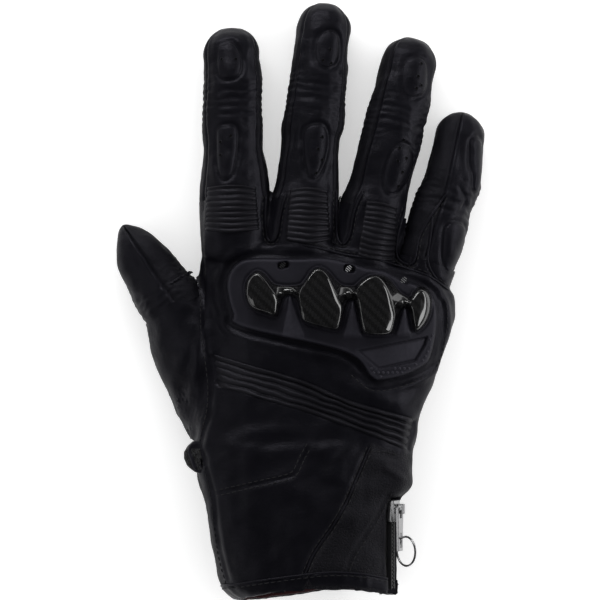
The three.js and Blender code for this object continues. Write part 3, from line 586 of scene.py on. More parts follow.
def fingerSpot(shape, along, angle):  # points of a finger's plain skin; angle runs from its back to +X
    along, angle = np.broadcast_arrays(np.asarray(along, float), np.asarray(angle, float))
    past = along - shape["mid"]
    after = np.where(past > kneeHalf, past, np.interp(past, kneeTurn, kneeGone))
    share = smoothStep(-kneeHalf, kneeHalf, past)[..., None]
    middle = shape["knee"] + (past - after)[..., None] * shape["axes"][:, 1]
    middle = middle + after[..., None] * shape["tipAxes"][:, 1]
    right = unit(shape["axes"][:, 0] * (1 - share) + shape["tipAxes"][:, 0] * share)
    up = unit(shape["axes"][:, 2] * (1 - share) + shape["tipAxes"][:, 2] * share)
    across, above = np.sin(angle), np.cos(angle)
    wide, half = fingerWide(shape, along, across > 0)
    t = np.clip((along - shape["capFrom"]) / shape["cap"], 0, 1)
    shrink = (1 - t ** shape["capPower"]) ** (1 / shape["capPower"])
    x = powered(across, 2 / fingerPower) * wide * shrink
    z = powered(above, 2 / fingerPower) * half * shape["flat"] * shrink
    return middle + x[..., None] * right + z[..., None] * up


# The thumb's root inside the hand: middle, splay, and half sizes
thumbRoot = [((-34, -55, 19), -16, 14.6, 11), ((-39.5, -39, 18.2), -20, 17, 12.6),
             ((-47, -20, 17.2), -24, 17.6, 12.8), ((-54.6, -2.6, 16.6), -32.5, 14.4, 11.6),
             ((-58.6, 3.7, 16.2), -32.5, 14.3, 11.9)]
rootStations = spline([(*at, splay, wide, thick) for at, splay, wide, thick in thumbRoot], 0.8)
rootAxes = [turned(5, -20, splay) for splay in rootStations[:, 3]]


def thumbRootReach(points):
    near = np.full(len(points), 1e9)
    reach = np.full(len(points), 1e9)
    for station, axes in zip(rootStations, rootAxes):
        x, along, z = ((points - station[:3]) @ axes).T
        picked = np.abs(along) < near
        near = np.where(picked, np.abs(along), near)
        reach = np.where(picked, ovalReach(x, z, station[4], station[5], fingerPower), reach)
    return np.maximum(reach, near - 1.0)


webs = {  # between the fingers: middle, half sizes
    "web_index_middle": ((-13.6, 24.4, 17.5), (6, 15.5, 9)),
    "web_middle_ring": ((18.0, 22.3, 17.5), (6, 15, 9)),
    "web_ring_little": ((45.2, 17, 16.5), (5, 16, 8)),
}


def webReach(points):
    reach = np.full(len(points), 1e9)
    for middle, half in webs.values():
        scaled = (points - np.array(middle)) / np.array(half)
        rel = (np.abs(scaled) ** 2.2).sum(1) ** (1 / 2.2)
        reach = np.minimum(reach, (rel - 1) * 6)
    return reach


def handSkinReach(points):
    reach = handReach(points)
    fingersReach = np.full(len(points), 1e9)
    for name, shape in fingerShapes.items():
        if name != "thumb":
            fingersReach = smoothLeast(fingersReach, fingerReach(shape, points, 0.2), 0.8)
    reach = smoothLeast(reach, fingersReach, handShape["join"])
    reach = smoothLeast(reach, thumbRootReach(points), 5.0)
    return smoothLeast(reach, webReach(points), 2.0)


def cornersOf(block, i, j, k):  # one corner of every cell of a block
    nx, ny, nz = block.shape
    return block[i:nx - 1 + i, j:ny - 1 + j, k:nz - 1 + k]


def surfaceNet(values, low, step):  # quads along the zero surface of a block of values
    inside = values < 0
    corners = [(i, j, k) for i in (0, 1) for j in (0, 1) for k in (0, 1)]
    count = sum(cornersOf(inside, *c).astype(np.int8) for c in corners)
    cells = np.argwhere((count > 0) & (count < 8))
    held = {c: values[tuple((cells + c).T)] for c in corners}
    total = np.zeros((len(cells), 3))
    crossings = np.zeros(len(cells))
    for a in corners:
        for axis in range(3):
            if a[axis] == 0:
                b = tuple(v + (n == axis) for n, v in enumerate(a))
                cross = (held[a] < 0) != (held[b] < 0)
                t = np.where(cross, held[a] / np.where(cross, held[a] - held[b], 1), 0)
                spot = np.array(a, float) + t[:, None] * (np.arange(3) == axis)
                total += np.where(cross[:, None], spot, 0)
                crossings += cross
    points = low + step * (cells + total / crossings[:, None])
    index = np.full(count.shape, -1, np.int64)
    index[tuple(cells.T)] = np.arange(len(cells))
    faces = []
    for axis in range(3):
        b, c = [(1, 2), (2, 0), (0, 1)][axis]
        ahead = np.roll(inside, -1, axis=axis)
        edges = np.argwhere(inside != ahead)
        ok = (edges[:, axis] < values.shape[axis] - 1) & (edges[:, b] > 0) & (edges[:, c] > 0)
        ok &= (edges[:, b] < values.shape[b] - 1) & (edges[:, c] < values.shape[c] - 1)
        edges = edges[ok]
        backB, backC = np.eye(3, dtype=int)[b], np.eye(3, dtype=int)[c]
        quad = np.column_stack([index[tuple(e.T)] for e in
                                (edges, edges - backB, edges - backB - backC, edges - backC)])
        flip = ~inside[tuple(edges.T)]
        quad[flip] = quad[flip][:, ::-1]
        faces.append(quad)
    return points, np.vstack(faces)


def slopeOf(reach, points):
    reachHere = reach(points)
    slope = np.column_stack([reach(points + step) - reachHere for step in np.eye(3) * 0.05]) / 0.05
    return reachHere, slope


coarseStep = 4.0  # the skin's distance is first worked out this far apart


def handSkinMesh():
    step = handShape["cellSize"] * coarser
    low, high = np.array([-82.0, -127.5, -3.0]), np.array([72.0, 52.0, 52.0])
    axes = [np.arange(a, b, step) for a, b in zip(low, high)]
    coarse = [np.arange(a, b + coarseStep, coarseStep) for a, b in zip(low, high)]
    spots = np.stack(np.meshgrid(*coarse, indexing="ij"), -1).reshape(-1, 3)
    rough = handSkinReach(spots).reshape([len(a) for a in coarse])
    nearest = []
    for axis, start, marks in zip(axes, low, coarse):
        nearest.append(np.clip(np.rint((axis - start) / coarseStep).astype(int), 0, len(marks) - 1))
    values = rough[np.ix_(*nearest)]
    close = np.argwhere(np.abs(values) < 7.5)
    values[tuple(close.T)] = handSkinReach(low + close * step)
    points, faces = surfaceNet(values, low, step)
    for _ in range(2):
        points = drawnOn(handSkinReach, points, 0.5)
    return points, faces, unit(slopeOf(handSkinReach, points)[1])


def drawnOn(reach, points, most):  # the points moved onto the surface, by no more than that
    away, slope = slopeOf(reach, points)
    square = np.maximum((slope**2).sum(1), 0.2)
    return points - (np.clip(away, -most, most) / square)[:, None] * slope


# Places on the back of the glove, read off the photograph
seamLines = {
    "leftSide": ((203, 192), (202, 240), (204, 290), (205, 330), (208, 352), (212, 385), (211, 410),
                 (205, 435), (204, 446), (208, 462), (216, 497), (218, 521), (223, 555), (231, 583)),
    "cuffUpper": ((216, 491), (253, 482), (284, 475), (295, 470), (302, 455), (310, 442)),
    "cuffDiagonal": ((369, 445), (355, 477), (345, 500), (330, 525), (313, 550), (303, 574)),
    "cuffGrained": ((388, 489), (375, 515), (365, 531), (353, 549), (345, 568)),
    "sideFlap": ((374, 452), (386, 453), (398, 457)),
    "webIndex": ((266, 196), (265, 217), (267, 238), (271, 243), (277, 237), (281, 214), (287, 192)),
    "webMiddle": ((336, 190), (336, 214), (337, 236), (342, 246), (349, 237), (354, 212), (363, 191)),
    "webRing": ((405, 208), (397, 236), (396, 254), (401, 262), (412, 265), (416, 250), (419, 236),
                (431, 215), (446, 194)),
    "arc": ((300, 245), (321, 249), (345, 255), (377, 260), (410, 270), (425, 275), (436, 281), (449, 291)),
    "littleSide": ((432, 216), (430, 235), (427, 258), (430, 271), (438, 281)),
    "littleFlap": ((456, 184), (461, 191), (465.5, 200), (463, 207), (458, 213)),
    "guardSide": ((352, 371), (361, 379), (371, 386), (386, 386), (406, 380.5), (424, 373), (435, 362),
                  (440, 345), (443, 325), (443, 308), (439, 295)),
}
seamLines = {name: spline(onPlan(*line), 1.0) for name, line in seamLines.items()}
seamCuts = {  # depth and half width of the valley that each seam pulls into the leather
    "leftSide": (0.5, 1.0), "cuffUpper": (0.42, 0.9), "cuffDiagonal": (0.6, 1.1),
    "cuffGrained": (0.5, 0.9), "sideFlap": (0.6, 1.0), "webIndex": (0.7, 0.9),
    "webMiddle": (0.7, 0.9), "webRing": (0.7, 0.9), "arc": (0.7, 1.0), "littleSide": (0.6, 0.9),
    "littleFlap": (0.55, 0.8), "guardSide": (0.8, 1.0),
}
foldLines = [  # soft folds of the hand: line, height, width
    (((197, 300), (192, 335), (182, 362), (172, 384)), 0.7, 2.8),
    (((200, 318), (198, 350), (194, 385), (191, 410)), 0.8, 2.2),
    (((206, 300), (200, 350), (200, 392), (197, 430)), 0.7, 1.9),
    (((330, 374), (372, 396), (412, 404)), 1.3, 3.2),
    (((222, 340), (262, 352), (330, 372)), 1.1, 4.5),
    (((190, 262), (196, 285), (200, 312)), -1.1, 2.8),
    (((378, 463), (390, 470), (402, 481)), 0.9, 1.5),
    (((306, 452), (336, 455), (364, 452)), 0.8, 5.0),
    (((332, 448), (337, 464), (333, 484)), 1.5, 4.2),
    (((255, 500), (262, 530), (262, 560)), -0.8, 7.0),
    (((212, 440), (240, 446), (270, 442)), 0.7, 4.0),
    (((330, 500), (352, 512), (372, 506)), 0.5, 3.0),
    (((447, 300), (440, 340), (432, 372)), 0.6, 2.0),
    (((130, 300), (146, 298), (166, 288)), -0.5, 1.2),
]
palmFolds = [  # two ends in plan millimetres, height, width
    ((-30, 6), (38, 4), -0.9, 1.6), ((-34, -14), (30, -8), -0.7, 1.5), ((-20, -30), (-36, -2), -0.8, 1.8),
    ((-40, -58), (44, -60), -0.8, 1.8), ((-38, -66), (44, -67), 0.6, 2.0), ((-12, -48), (-26, -18), 0.6, 2.4),
]
pads = {
    # outline, height, and how far the left edge fades into the leather
    "index_tip_pad": (((219, 46), (231, 42), (238, 49), (242, 61), (241, 73), (235, 79), (226, 80),
                       (219, 77), (217, 66), (217, 55)), 0.9, 0.6),
    "index_mid_pad": (((217, 131), (224, 126), (234, 126), (238, 133), (238, 147), (236, 164),
                       (232, 176), (225, 181), (219, 173), (217, 154)), 1.1, 0.35),
    "middle_tip_pad": (((316, 43), (322, 33), (332, 31), (338, 37), (339, 55), (335, 66), (325, 69),
                        (316, 62)), 1.0, 0.6),
    "middle_mid_pad": (((304, 130), (315, 124), (324, 126), (328, 135), (327, 151), (322, 168),
                        (316, 178), (309, 177), (304, 162), (303, 143)), 1.2, 0.35),
    "ring_tip_pad": (((405, 62), (413, 57), (421, 57), (427, 64), (427, 84), (422, 95), (410, 99),
                      (403, 92), (402, 77)), 1.0, 0.85),
    "ring_mid_pad": (((390, 153), (397, 146), (406, 145), (412, 153), (412, 168), (406, 183),
                      (396, 194), (387, 195), (382, 185), (384, 168)), 1.5, 0.4),
    "little_tip_pad": (((471, 140), (478, 136), (483, 144), (483.5, 163), (481, 182), (477, 194),
                        (473, 190), (473, 178), (470, 164), (470, 151)), 0.9, 0.0),
    "little_mid_pad": (((444, 228), (452, 222), (464, 225), (466, 238), (461, 256), (453, 271),
                        (446, 273), (442, 260), (442, 242)), 1.3, 0.2),
}
padOutlines = {name: spline(onPlan(*pad[0]), 0.8, True) for name, pad in pads.items()}
stretchTop = spline(onPlan((206, 350), (246, 362), (302, 378), (347, 397), (380, 407), (419, 418)), 1.0)
stretchLow = spline(onPlan((213, 386), (236, 391), (263, 399), (310, 413), (347, 426), (380, 439),
                           (411, 453)), 1.0)
stretchOutline = np.vstack([stretchTop, stretchLow[::-1]])
guardOutline = spline(np.array([
    (-31.6, 4.6), (-30.5, 11.3), (-26.1, 16.4), (-18.6, 18), (-1.5, 17.8), (8.9, 18.2), (16.4, 17.2),
    (27.6, 14), (35.8, 12.4), (41, 10), (49.9, 6.4), (55, 3.6), (57.6, -1), (58.4, -6.5), (58, -14),
    (55.4, -24.4), (52.6, -28), (44.7, -31.9), (34.3, -34.2), (29.8, -32.7), (18.7, -22.2),
    (-24.6, -11.8), (-29, -5.8)]), 0.8, True)


def backRelief(spots, facing):  # what shows on the back of the glove, for leather facing upwards
    height = np.zeros(len(spots))
    wear = np.zeros(len(spots))
    up = smoothStep(0.05, 0.35, facing)
    for name, line in seamLines.items():
        depth, width = seamCuts[name]
        away, along = lineReach(spots, line)
        ends = smoothStep(0, 4, along) * smoothStep(0, 4, stepsOf(line).sum() - along)
        height -= depth * bell(away, width) * ends
        height += 0.22 * depth * bell(away - 2.2 * width, width) * ends
        wear += 0.25 * bell(away - 1.6 * width, 0.7)
    for name, outline in padOutlines.items():
        away = insideReach(spots, outline)
        middle, half = outline[:, 0].mean(), np.ptp(outline[:, 0]) / 2
        faded = pads[name][2] * smoothStep(0.5, -0.7, (spots[:, 0] - middle) / half)
        height -= 0.5 * bell(away + 0.4, 0.75) * (1 - faded)
        height += 0.1 * bell(away + 2.4, 1.2)
        wear += 0.15 * bell(away + 2.0, 0.8)
    away = insideReach(spots, guardOutline)
    height += 0.7 * bell(away + 4.2, 1.8) - 0.5 * bell(away + 1.4, 1.2)
    return height * up, wear * up


hemLines = [np.array(line).T for line in (
    # how far the hem lies above or below its middle level, from left to right: back, then palm side
    [(-50, -3.4), (-34, -3.6), (-30, -3.9), (-16, -2.5), (-1.6, -1.1), (7, -0.3), (12.7, -0.1), (20, -0.4),
     (28, -1.4), (36, -3.0), (41, -3.9), (50, -4.2)],
    [(-50, -3.4), (-34, -3.6), (-29, -4.0), (-16, -3.0), (-4, -2.0), (4, -1.0), (12, -0.2), (20, -0.4),
     (28, -1.4), (36, -3.0), (41, -3.9), (50, -4.2)])]


def hemShift(points):
    back, palm = (np.interp(points[..., 0], *line) for line in hemLines)
    share = smoothStep(12, 36, points[..., 2])
    return back * share + palm * (1 - share)


# The opening for the zip: its height and roll, width, end, depth, and the leather's bulge above it
zipLook = {
    "z": 34.5, "roll": 23, "slot": 9, "high": -84.5, "deep": 5.2, "bulge": 2.6, "bulgeY": -77,
}
zipOut = np.array([math.cos(math.radians(zipLook["roll"])), 0, math.sin(math.radians(zipLook["roll"]))])
zipAcross = np.array([-zipOut[2], 0, zipOut[0]])
sideSpots = np.column_stack([np.linspace(34, 46, 240), np.full(240, -100.0), np.full(240, zipLook["z"])])
zipMiddle = np.array([np.interp(0, handReach(sideSpots), sideSpots[:, 0]), 0, zipLook["z"]])


def zipCoords(points):  # across the chain and out of the cuff
    return (points - zipMiddle) @ zipAcross, (points - zipMiddle) @ zipOut


def handRelief(points, normals):
    spots = points[:, :2]
    height, wear = backRelief(spots, normals[:, 2])
    up = smoothStep(-0.1, 0.3, normals[:, 2])
    for line, lift, width in foldLines:
        smooth = spline(onPlan(*line), 1.5)
        away, along = lineReach(spots, smooth)
        whole = stepsOf(smooth).sum()
        fade = smoothStep(0, whole * 0.3, along) * smoothStep(0, whole * 0.3, whole - along)
        height += lift * bell(away, width) * fade * up
    inPanel = insideReach(spots, stretchOutline)
    height -= 0.9 * smoothStep(0.3, 1.8, inPanel) * up
    # the palm side folds across its middle and at the roots of the fingers
    down = smoothStep(0.1, 0.5, -normals[:, 2])
    for (ax, ay), (bx, by), lift, width in palmFolds:
        line = spline(np.array([(ax, ay), ((ax + bx) / 2, (ay + by) / 2 - 3), (bx, by)]), 2.0)
        height += lift * bell(lineReach(spots, line)[0], width) * down
    flat = 1 - 0.75 * smoothStep(-6, 2, insideReach(spots, guardOutline)) * up
    height += (0.42 * ripple(points, 24) + 0.16 * ripple(points + 40, 9)) * flat
    across, outward = zipCoords(points)
    nearZip = (outward > -8) & (points[:, 1] < zipLook["high"] + 3)
    lip = smoothStep(zipLook["high"] + 1.0, zipLook["high"] - 0.6, points[:, 1])
    slot = smoothStep(zipLook["slot"] / 2 + 0.3, zipLook["slot"] / 2 - 0.5, np.abs(across)) * lip * nearZip
    height += 0.35 * bell(np.abs(across) - zipLook["slot"] / 2 - 1.6, 0.9) * lip * nearZip
    bulge = bell(points[:, 1] - zipLook["bulgeY"], 6.5) * smoothStep(30, 43, points[:, 0])
    height += zipLook["bulge"] * bulge * smoothStep(16, 30, points[:, 2])
    height = height * (1 - slot) - zipLook["deep"] * slot
    wrist = bell(points[:, 1] + 66, 18)
    height += 0.35 * wrist * ripple(points * np.array([0.45, 1, 1]), 8.5)
    return height, wear + 0.12 * (ripple(points, 13) > 0.55)


def panelOf(points):  # which leather panel of the hand a place belongs to
    x, y, z = points.T
    side = np.interp(y, [-140, -84, -50, 60], [34.5, 34.5, 21, 19])
    thumbSide = (x < np.interp(y, [-60, -56, 24, 45], [-60, -41.2, -41.2, -48])) & (y > -56)
    panels = np.where(z > side, "back_panel", "palm_panel").astype(object)
    diagonal = np.interp(y, [-118, -62], [1.0, 29.5])
    low = np.interp(x, [-40, 47], [-39, -66])
    cuff = (y < low) & (z > side)
    panels[cuff] = "cuff_back_panel"
    panels[cuff & (x > diagonal)] = "cuff_side_panel"
    panels[(z <= side) & (y < -56)] = "cuff_palm_panel"
    panels[thumbSide & (z > 16.2)] = "thumb_root_back"
    panels[thumbSide & (z <= 16.2)] = "thumb_root_front"
    for name, (middle, half) in webs.items():
        scaled = np.abs((points - np.array(middle)) / (np.array(half) + 2.2)) ** 2.2
        panels[(scaled.sum(1) < 1) & (y > middle[1] - 9)] = name
    return panels


def evenBorders(points, faces, panels, reach):  # draws the stepped borders between panels into smooth lines
    edges = np.vstack([np.sort(faces[:, [a, (a + 1) % 4]], 1) for a in range(4)])
    owner = np.tile(np.unique(panels, return_inverse=True)[1], 4)
    order = np.lexsort(edges.T)
    edges, owner = edges[order], owner[order]
    same = (edges[1:] == edges[:-1]).all(1) & (owner[1:] != owner[:-1])
    border = edges[1:][same]
    count = np.bincount(border.ravel(), minlength=len(points))
    moving = count == 2
    for _ in range(10):
        total = np.zeros_like(points)
        np.add.at(total, border[:, 0], points[border[:, 1]])
        np.add.at(total, border[:, 1], points[border[:, 0]])
        points[moving] = 0.5 * points[moving] + 0.25 * total[moving]
    points[moving] = drawnOn(reach, points[moving], 0.4)
    return points


def cutOut(faces, mask):  # the faces under a mask, with their points renumbered
    part = faces[mask]
    used, numbers = np.unique(part, return_inverse=True)
    return used, numbers.reshape(part.shape)


points, faces, normals = handSkinMesh()
middles = points[faces].mean(1)
kept = np.ones(len(faces), bool)
for name, shape in fingerShapes.items():
    bendFrom = shape["bend"][0]
    x, along, z = fingerCoords(shape, points).T
    near = (np.abs(x) < 21) & (np.abs(z) < 16) & (along > bendFrom - 4)
    own = fingerReach(shape, points)
    if name == "thumb":  # the leather in its crotch stays with the hand
        near &= own < 0.8
    else:  # only the part that is this finger's own; the webs stay too
        near &= own < 1.2
        for other, otherShape in fingerShapes.items():
            if other not in (name, "thumb"):
                near &= own <= fingerReach(otherShape, points) + 1e-6
    past = near[faces].all(1) & (along[faces].mean(1) > bendFrom)
    kept &= ~past
    onEdge = np.zeros(len(points), bool)
    onEdge[faces[past].ravel()] = True
    onEdge &= np.isin(np.arange(len(points)), faces[kept].ravel())
    onEdge &= near & (np.abs(along - bendFrom) < 1.5)
    points[onEdge] += (bendFrom - along[onEdge])[:, None] * shape["axes"][:, 1]
kept &= middles[:, 1] > hemShift(middles) - 121.6
faces = faces[kept]
panels = panelOf(points[faces].mean(1))
points = evenBorders(points, faces, panels, handSkinReach)
height, handWear = handRelief(points, normals)
points = points + height[:, None] * normals
print("hand skin", len(points), "points")


panelFinish = {
    "back_panel": "leather", "palm_panel": "palmLeather", "cuff_back_panel": "leather",
    "cuff_side_panel": "grainedLeather", "cuff_palm_panel": "palmLeather",
    "thumb_root_back": "leather", "thumb_root_front": "palmLeather", "web_index_middle": "leather",
    "web_middle_ring": "leather", "web_ring_little": "leather",
}
skinPieces = []
for panel, finish in panelFinish.items():
    used, numbers = cutOut(faces, panels == panel)
    skinPieces.append(makePiece(panel + "_skin", points[used], numbers, finish, "hand", handWear[used],
                                panel))
print("hand panels made")


def fingerRelief(shape, along, angle, points, normals):
    onBack = (angle > shape["seamAngles"][0]) * (angle < shape["seamAngles"][1])
    height, wear = backRelief(points[:, :2], normals[:, 2] * onBack)
    half = 12.5 if shape["mid"] else 12.0
    for n, seam in enumerate(shape["seamAngles"]):
        away = (angle - seam) * half
        outward = away if n else -away
        height -= 0.75 * bell(away, 0.75)
        height += 0.25 * bell(outward + 1.5, 1.1)  # the back panel's folded edge stands up
        wear += 0.15 * bell(outward + 1.2, 0.8)
    for at, depth, width, curve in shape["creases"]:
        away = along - at - curve * angle**2 + 0.25 * np.sin(angle * 5 + at)
        patchy = 0.62 + 0.5 * ripple(points + at * 7, 9) + 0.25 * np.sin(angle * 1.5)
        onTop = 0.34 + 0.24 * np.cos(angle)
        height -= depth * bell(away, width) * onTop * np.clip(patchy, 0.1, 1.3)
        onTop = 0.5 + 0.4 * np.cos(angle)
        height += 0.16 * depth * bell(away - 1.7, 0.9) * onTop * np.clip(patchy, 0, 1.2)
    for at, depth in ((shape["mid"] - 2.5, 0.7), (shape["mid"] + 1.5, 0.8),
                      (shape["mid"] * 0.5 + 2, 0.35), (shape["bend"][1] - 3, 0.6)):  # on the palm side
        away = along - at + 0.8 * np.sin(angle * 2 + at)
        height -= depth * bell(away, 1.2) * smoothStep(0.1, 0.8, -np.cos(angle))
    sides = np.abs(np.sin(angle))
    puckers = np.sin(along * 2.1 + 2.2 * ripple(points, 11)) * bell(along - shape["mid"], 11)
    height += 0.16 * puckers * sides
    height += 0.3 * ripple(points, 17) + 0.1 * ripple(points + 30, 6)
    return height, wear + 0.15 * smoothStep(shape["capFrom"], shape["capFrom"] + 10, along)


def bendAt(piece, shape, before, after, stations):  # works out two places along its finger, which nothing uses, and bakes the piece's transform into its mesh; nothing bends it
    start, end = (tuple(inFrame(shape["base"] + shape["axes"][:, 1] * s)) for s in stations)
    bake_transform(piece)


def joinFinger(piece, name, shape, part, side):  # what a piece of a finger moves with and stands for; the pieces at a root or crease are only baked in place
    finger, tip = name + "_finger", "thumb_tip" if name == "thumb" else name + "_fingertip"
    bends = {"root": ("hand", finger, shape["bend"]),
             "crease": (finger, tip, (shape["mid"] - shape["crease"], shape["mid"] + shape["crease"]))}
    if name == "thumb":
        bends = {"crease": ("hand", tip, shape["bend"])}
    if part in bends:
        bendAt(piece, shape, *bends[part])
    else:
        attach(piece, tip if part == "tip" else finger)
    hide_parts(name + {"root": "_pleats", "crease": "_crease"}.get(part, f"_{part}_{side}"))


fingerCell = 0.5


def fingerPieces(name, shape):
    seamLow, seamHigh = shape["seamAngles"] = [math.radians(v) for v in shape["seams"]]
    size = fingerCell * coarser
    angles = []
    for a, b in ((seamLow, seamHigh), (seamHigh, seamLow + 2 * math.pi)):
        angles.append(np.linspace(a, b, max(12, int((b - a) * 12.5 / size)), endpoint=False))
    backCount = len(angles[0])
    angles = np.concatenate(angles)
    bendFrom, bendTo = shape["bend"]
    crease = shape["crease"]
    stops = [bendFrom - 4, bendTo, shape["mid"] - crease, shape["mid"] + crease, shape["capFrom"]]
    names = ["root", "mid", "crease", "tip"]
    if name == "thumb":
        stops, names = [bendFrom - 3, bendTo, shape["capFrom"]], ["crease", "tip"]
    rows = [np.linspace(a, b, max(2, int((b - a) / size)), endpoint=False)
            for a, b in zip(stops, stops[1:])]
    breaks = np.cumsum([0] + [len(r) for r in rows])
    cap = shape["capFrom"] + shape["cap"] * np.sin(np.radians(np.linspace(0, 88.5, 26)))
    along = np.concatenate([*rows, cap])
    grid = fingerSpot(shape, along[:, None], angles[None, :])
    flat, normals = grid.reshape(-1, 3), gridNormals(grid, True).reshape(-1, 3)
    wideAlong, wideAngle = (block.ravel() for block in np.broadcast_arrays(along[:, None], angles[None, :]))
    shown = (wideAngle + math.pi) % (2 * math.pi) - math.pi
    height, wear = fingerRelief(shape, wideAlong, shown, flat, normals)
    capShare = np.clip((wideAlong - shape["capFrom"]) / shape["cap"], 0, 1)
    height = height * (1 - smoothStep(0.9, 0.995, capShare))
    tucked = smoothStep(bendFrom - 1.0, bendFrom + 1.5, wideAlong)
    height = height * tucked - 0.35 * (1 - tucked)
    points = flat + height[:, None] * normals
    points = np.vstack([points, points[-len(angles):].mean(0)])
    wear = np.append(wear, 0.2)
    faces = gridFaces(len(along), len(angles), True)
    row, column = np.divmod(np.arange(len(faces)), len(angles))
    last = (len(along) - 1) * len(angles)
    turn = np.arange(len(angles))
    apex = np.full(len(angles), last + len(angles))
    fan = np.column_stack([last + turn, last + (turn + 1) % len(angles), apex])
    for part, start, stop in zip(names, breaks, [*breaks[1:-1], len(along)]):
        for side in ("back", "front"):
            onSide = (column < backCount) == (side == "back")
            part4 = faces[(row >= start) & (row < stop) & onSide]
            part3 = fan[(turn < backCount) == (side == "back")] if part == "tip" else fan[:0]
            used = np.unique(np.concatenate([part4.ravel(), part3.ravel()]))
            numbers = np.full(len(points), -1)
            numbers[used] = np.arange(len(used))
            piece = makePiece(f"{name}_{part}_{side}_skin", points[used], [numbers[part4], numbers[part3]],
                              "leather" if side == "back" else "palmLeather", None, wear[used])
            joinFinger(piece, name, shape, part, side)
            skinPieces.append(piece)


for name, shape in fingerShapes.items():
    fingerPieces(name, shape)
print("fingers made")


# Laying things on the leather
def treeOf(pieces):
    corners, faces = [], []
    for piece in pieces:
        start = len(corners)
        corners += [tuple(v.co * 1000 - Vector(planShift)) for v in piece.data.vertices]
        faces += [tuple(start + v for v in face.vertices) for face in piece.data.polygons]
    return BVHTree.FromPolygons(corners, faces)


skinTree = treeOf(skinPieces)


def rayDown(place, below=False, tree=None):  # from above, or from below the glove, onto the leather
    start, way = (-80, 1) if below else (120, -1)
    return (tree or skinTree).ray_cast(Vector((*place, start)), Vector((0, 0, way)))


def meets(spots):  # which plan spots have leather under them
    return np.array([rayDown(spot)[0] is not None for spot in spots])


def laidOn(spots, below=False, tree=None):  # where each plan spot meets the leather, and its normal
    spots = np.asarray(spots, float)
    shape, flat = spots.shape[:-1], spots.reshape(-1, 2)
    found = np.full((len(flat), 6), np.nan)
    for n, spot in enumerate(flat):
        place, normal = rayDown(spot, below, tree)[:2]
        if place is not None:
            if (normal.z > 0) == below:
                normal = -normal
            found[n] = (*place, *normal)
    lost = np.isnan(found[:, 0])
    if lost.any():  # off the edge: take the height of the nearest found spot
        there = np.flatnonzero(~lost)
        for n in np.flatnonzero(lost):
            nearest = there[np.argmin(((flat[there] - flat[n]) ** 2).sum(1))]
            found[n] = (*flat[n], found[nearest, 2], *found[nearest, 3:])
    return found[:, :3].reshape(*shape, 3), found[:, 3:].reshape(*shape, 3)


def evened(grid, times):  # smooths the heights of a grid of points
    for _ in range(times):
        for axis in (0, 1):
            ahead, behind = np.roll(grid, -1, axis), np.roll(grid, 1, axis)
            first, last = [slice(None)] * 2, [slice(None)] * 2
            first[axis], last[axis] = 0, -1
            ahead[tuple(last)] = grid[tuple(last)]
            behind[tuple(first)] = grid[tuple(first)]
            grid = (grid * 2 + ahead + behind) / 4
    return grid


ribPanels = {  # top and low edges from left to right, ribs, height, and spacing of the mesh
    "index": {"top": ((204, 187), (232, 184), (259, 187)), "low": ((202, 232), (232, 235), (263, 231)),
              "ribs": 9, "height": 0.95, "spacing": 0.36},
    "middle": {"top": ((287, 189), (308, 186), (330, 190)), "low": ((282, 241), (306, 246), (333, 242)),
               "ribs": 10, "height": 1.0, "spacing": 0.36},
    "ring": {"top": ((363, 200), (381, 201), (399, 207)), "low": ((353, 256), (375, 263), (397, 262)),
             "ribs": 11, "height": 1.0, "spacing": 0.36},
}
backRibs = {"ribs": 5, "height": 1.35, "spacing": 0.3}


def ribPanel(name, top, low, look, node):
    wide = int(stepsOf(top).sum())
    tall = int(np.linalg.norm(top[0] - low[0]) / look["spacing"])
    u, v = np.linspace(0, 1, wide), np.linspace(0, 1, tall)[:, None]
    spots = evenly(top, wide)[None] * (1 - v[..., None]) + evenly(low, wide)[None] * v[..., None]
    base, normals = laidOn(spots)
    base, normals = evened(base, 6), unit(evened(normals, 8))
    uneven = 0.12 * ripple(base.reshape(-1, 3), 12).reshape(base.shape[:2])
    ridge = np.abs(np.sin(np.pi * (look["ribs"] * v + uneven))) ** 0.75
    edge = smoothStep(0, 0.045, v) * smoothStep(0, 0.045, 1 - v)
    edge = edge * smoothStep(0, 0.07, u) * smoothStep(0, 0.07, 1 - u)
    high = look["height"] * ridge * (0.5 + 0.5 * smoothStep(0.05, 0.7, u))
    lift = (0.25 + high) * edge - 0.9 * (1 - edge)
    grid = base + lift[..., None] * normals
    return makePiece(name, grid.reshape(-1, 3), gridFaces(tall, wide)[:, ::-1], "stretchLeather", None,
                     (0.35 * ridge * edge).ravel(), node)


for name, look in ribPanels.items():
    top, low = (spline(onPlan(*look[edge]), 1.0) for edge in ("top", "low"))
    made = ribPanel(name + "_stretch_ribs", top, low, look, name + "_pleats")
    bendAt(made, fingerShapes[name], "hand", name + "_finger", fingerShapes[name]["bend"])
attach(ribPanel("back_stretch_ribs", stretchTop, stretchLow, backRibs, "back_stretch_panel"), "hand")
print("ribbed panels made")


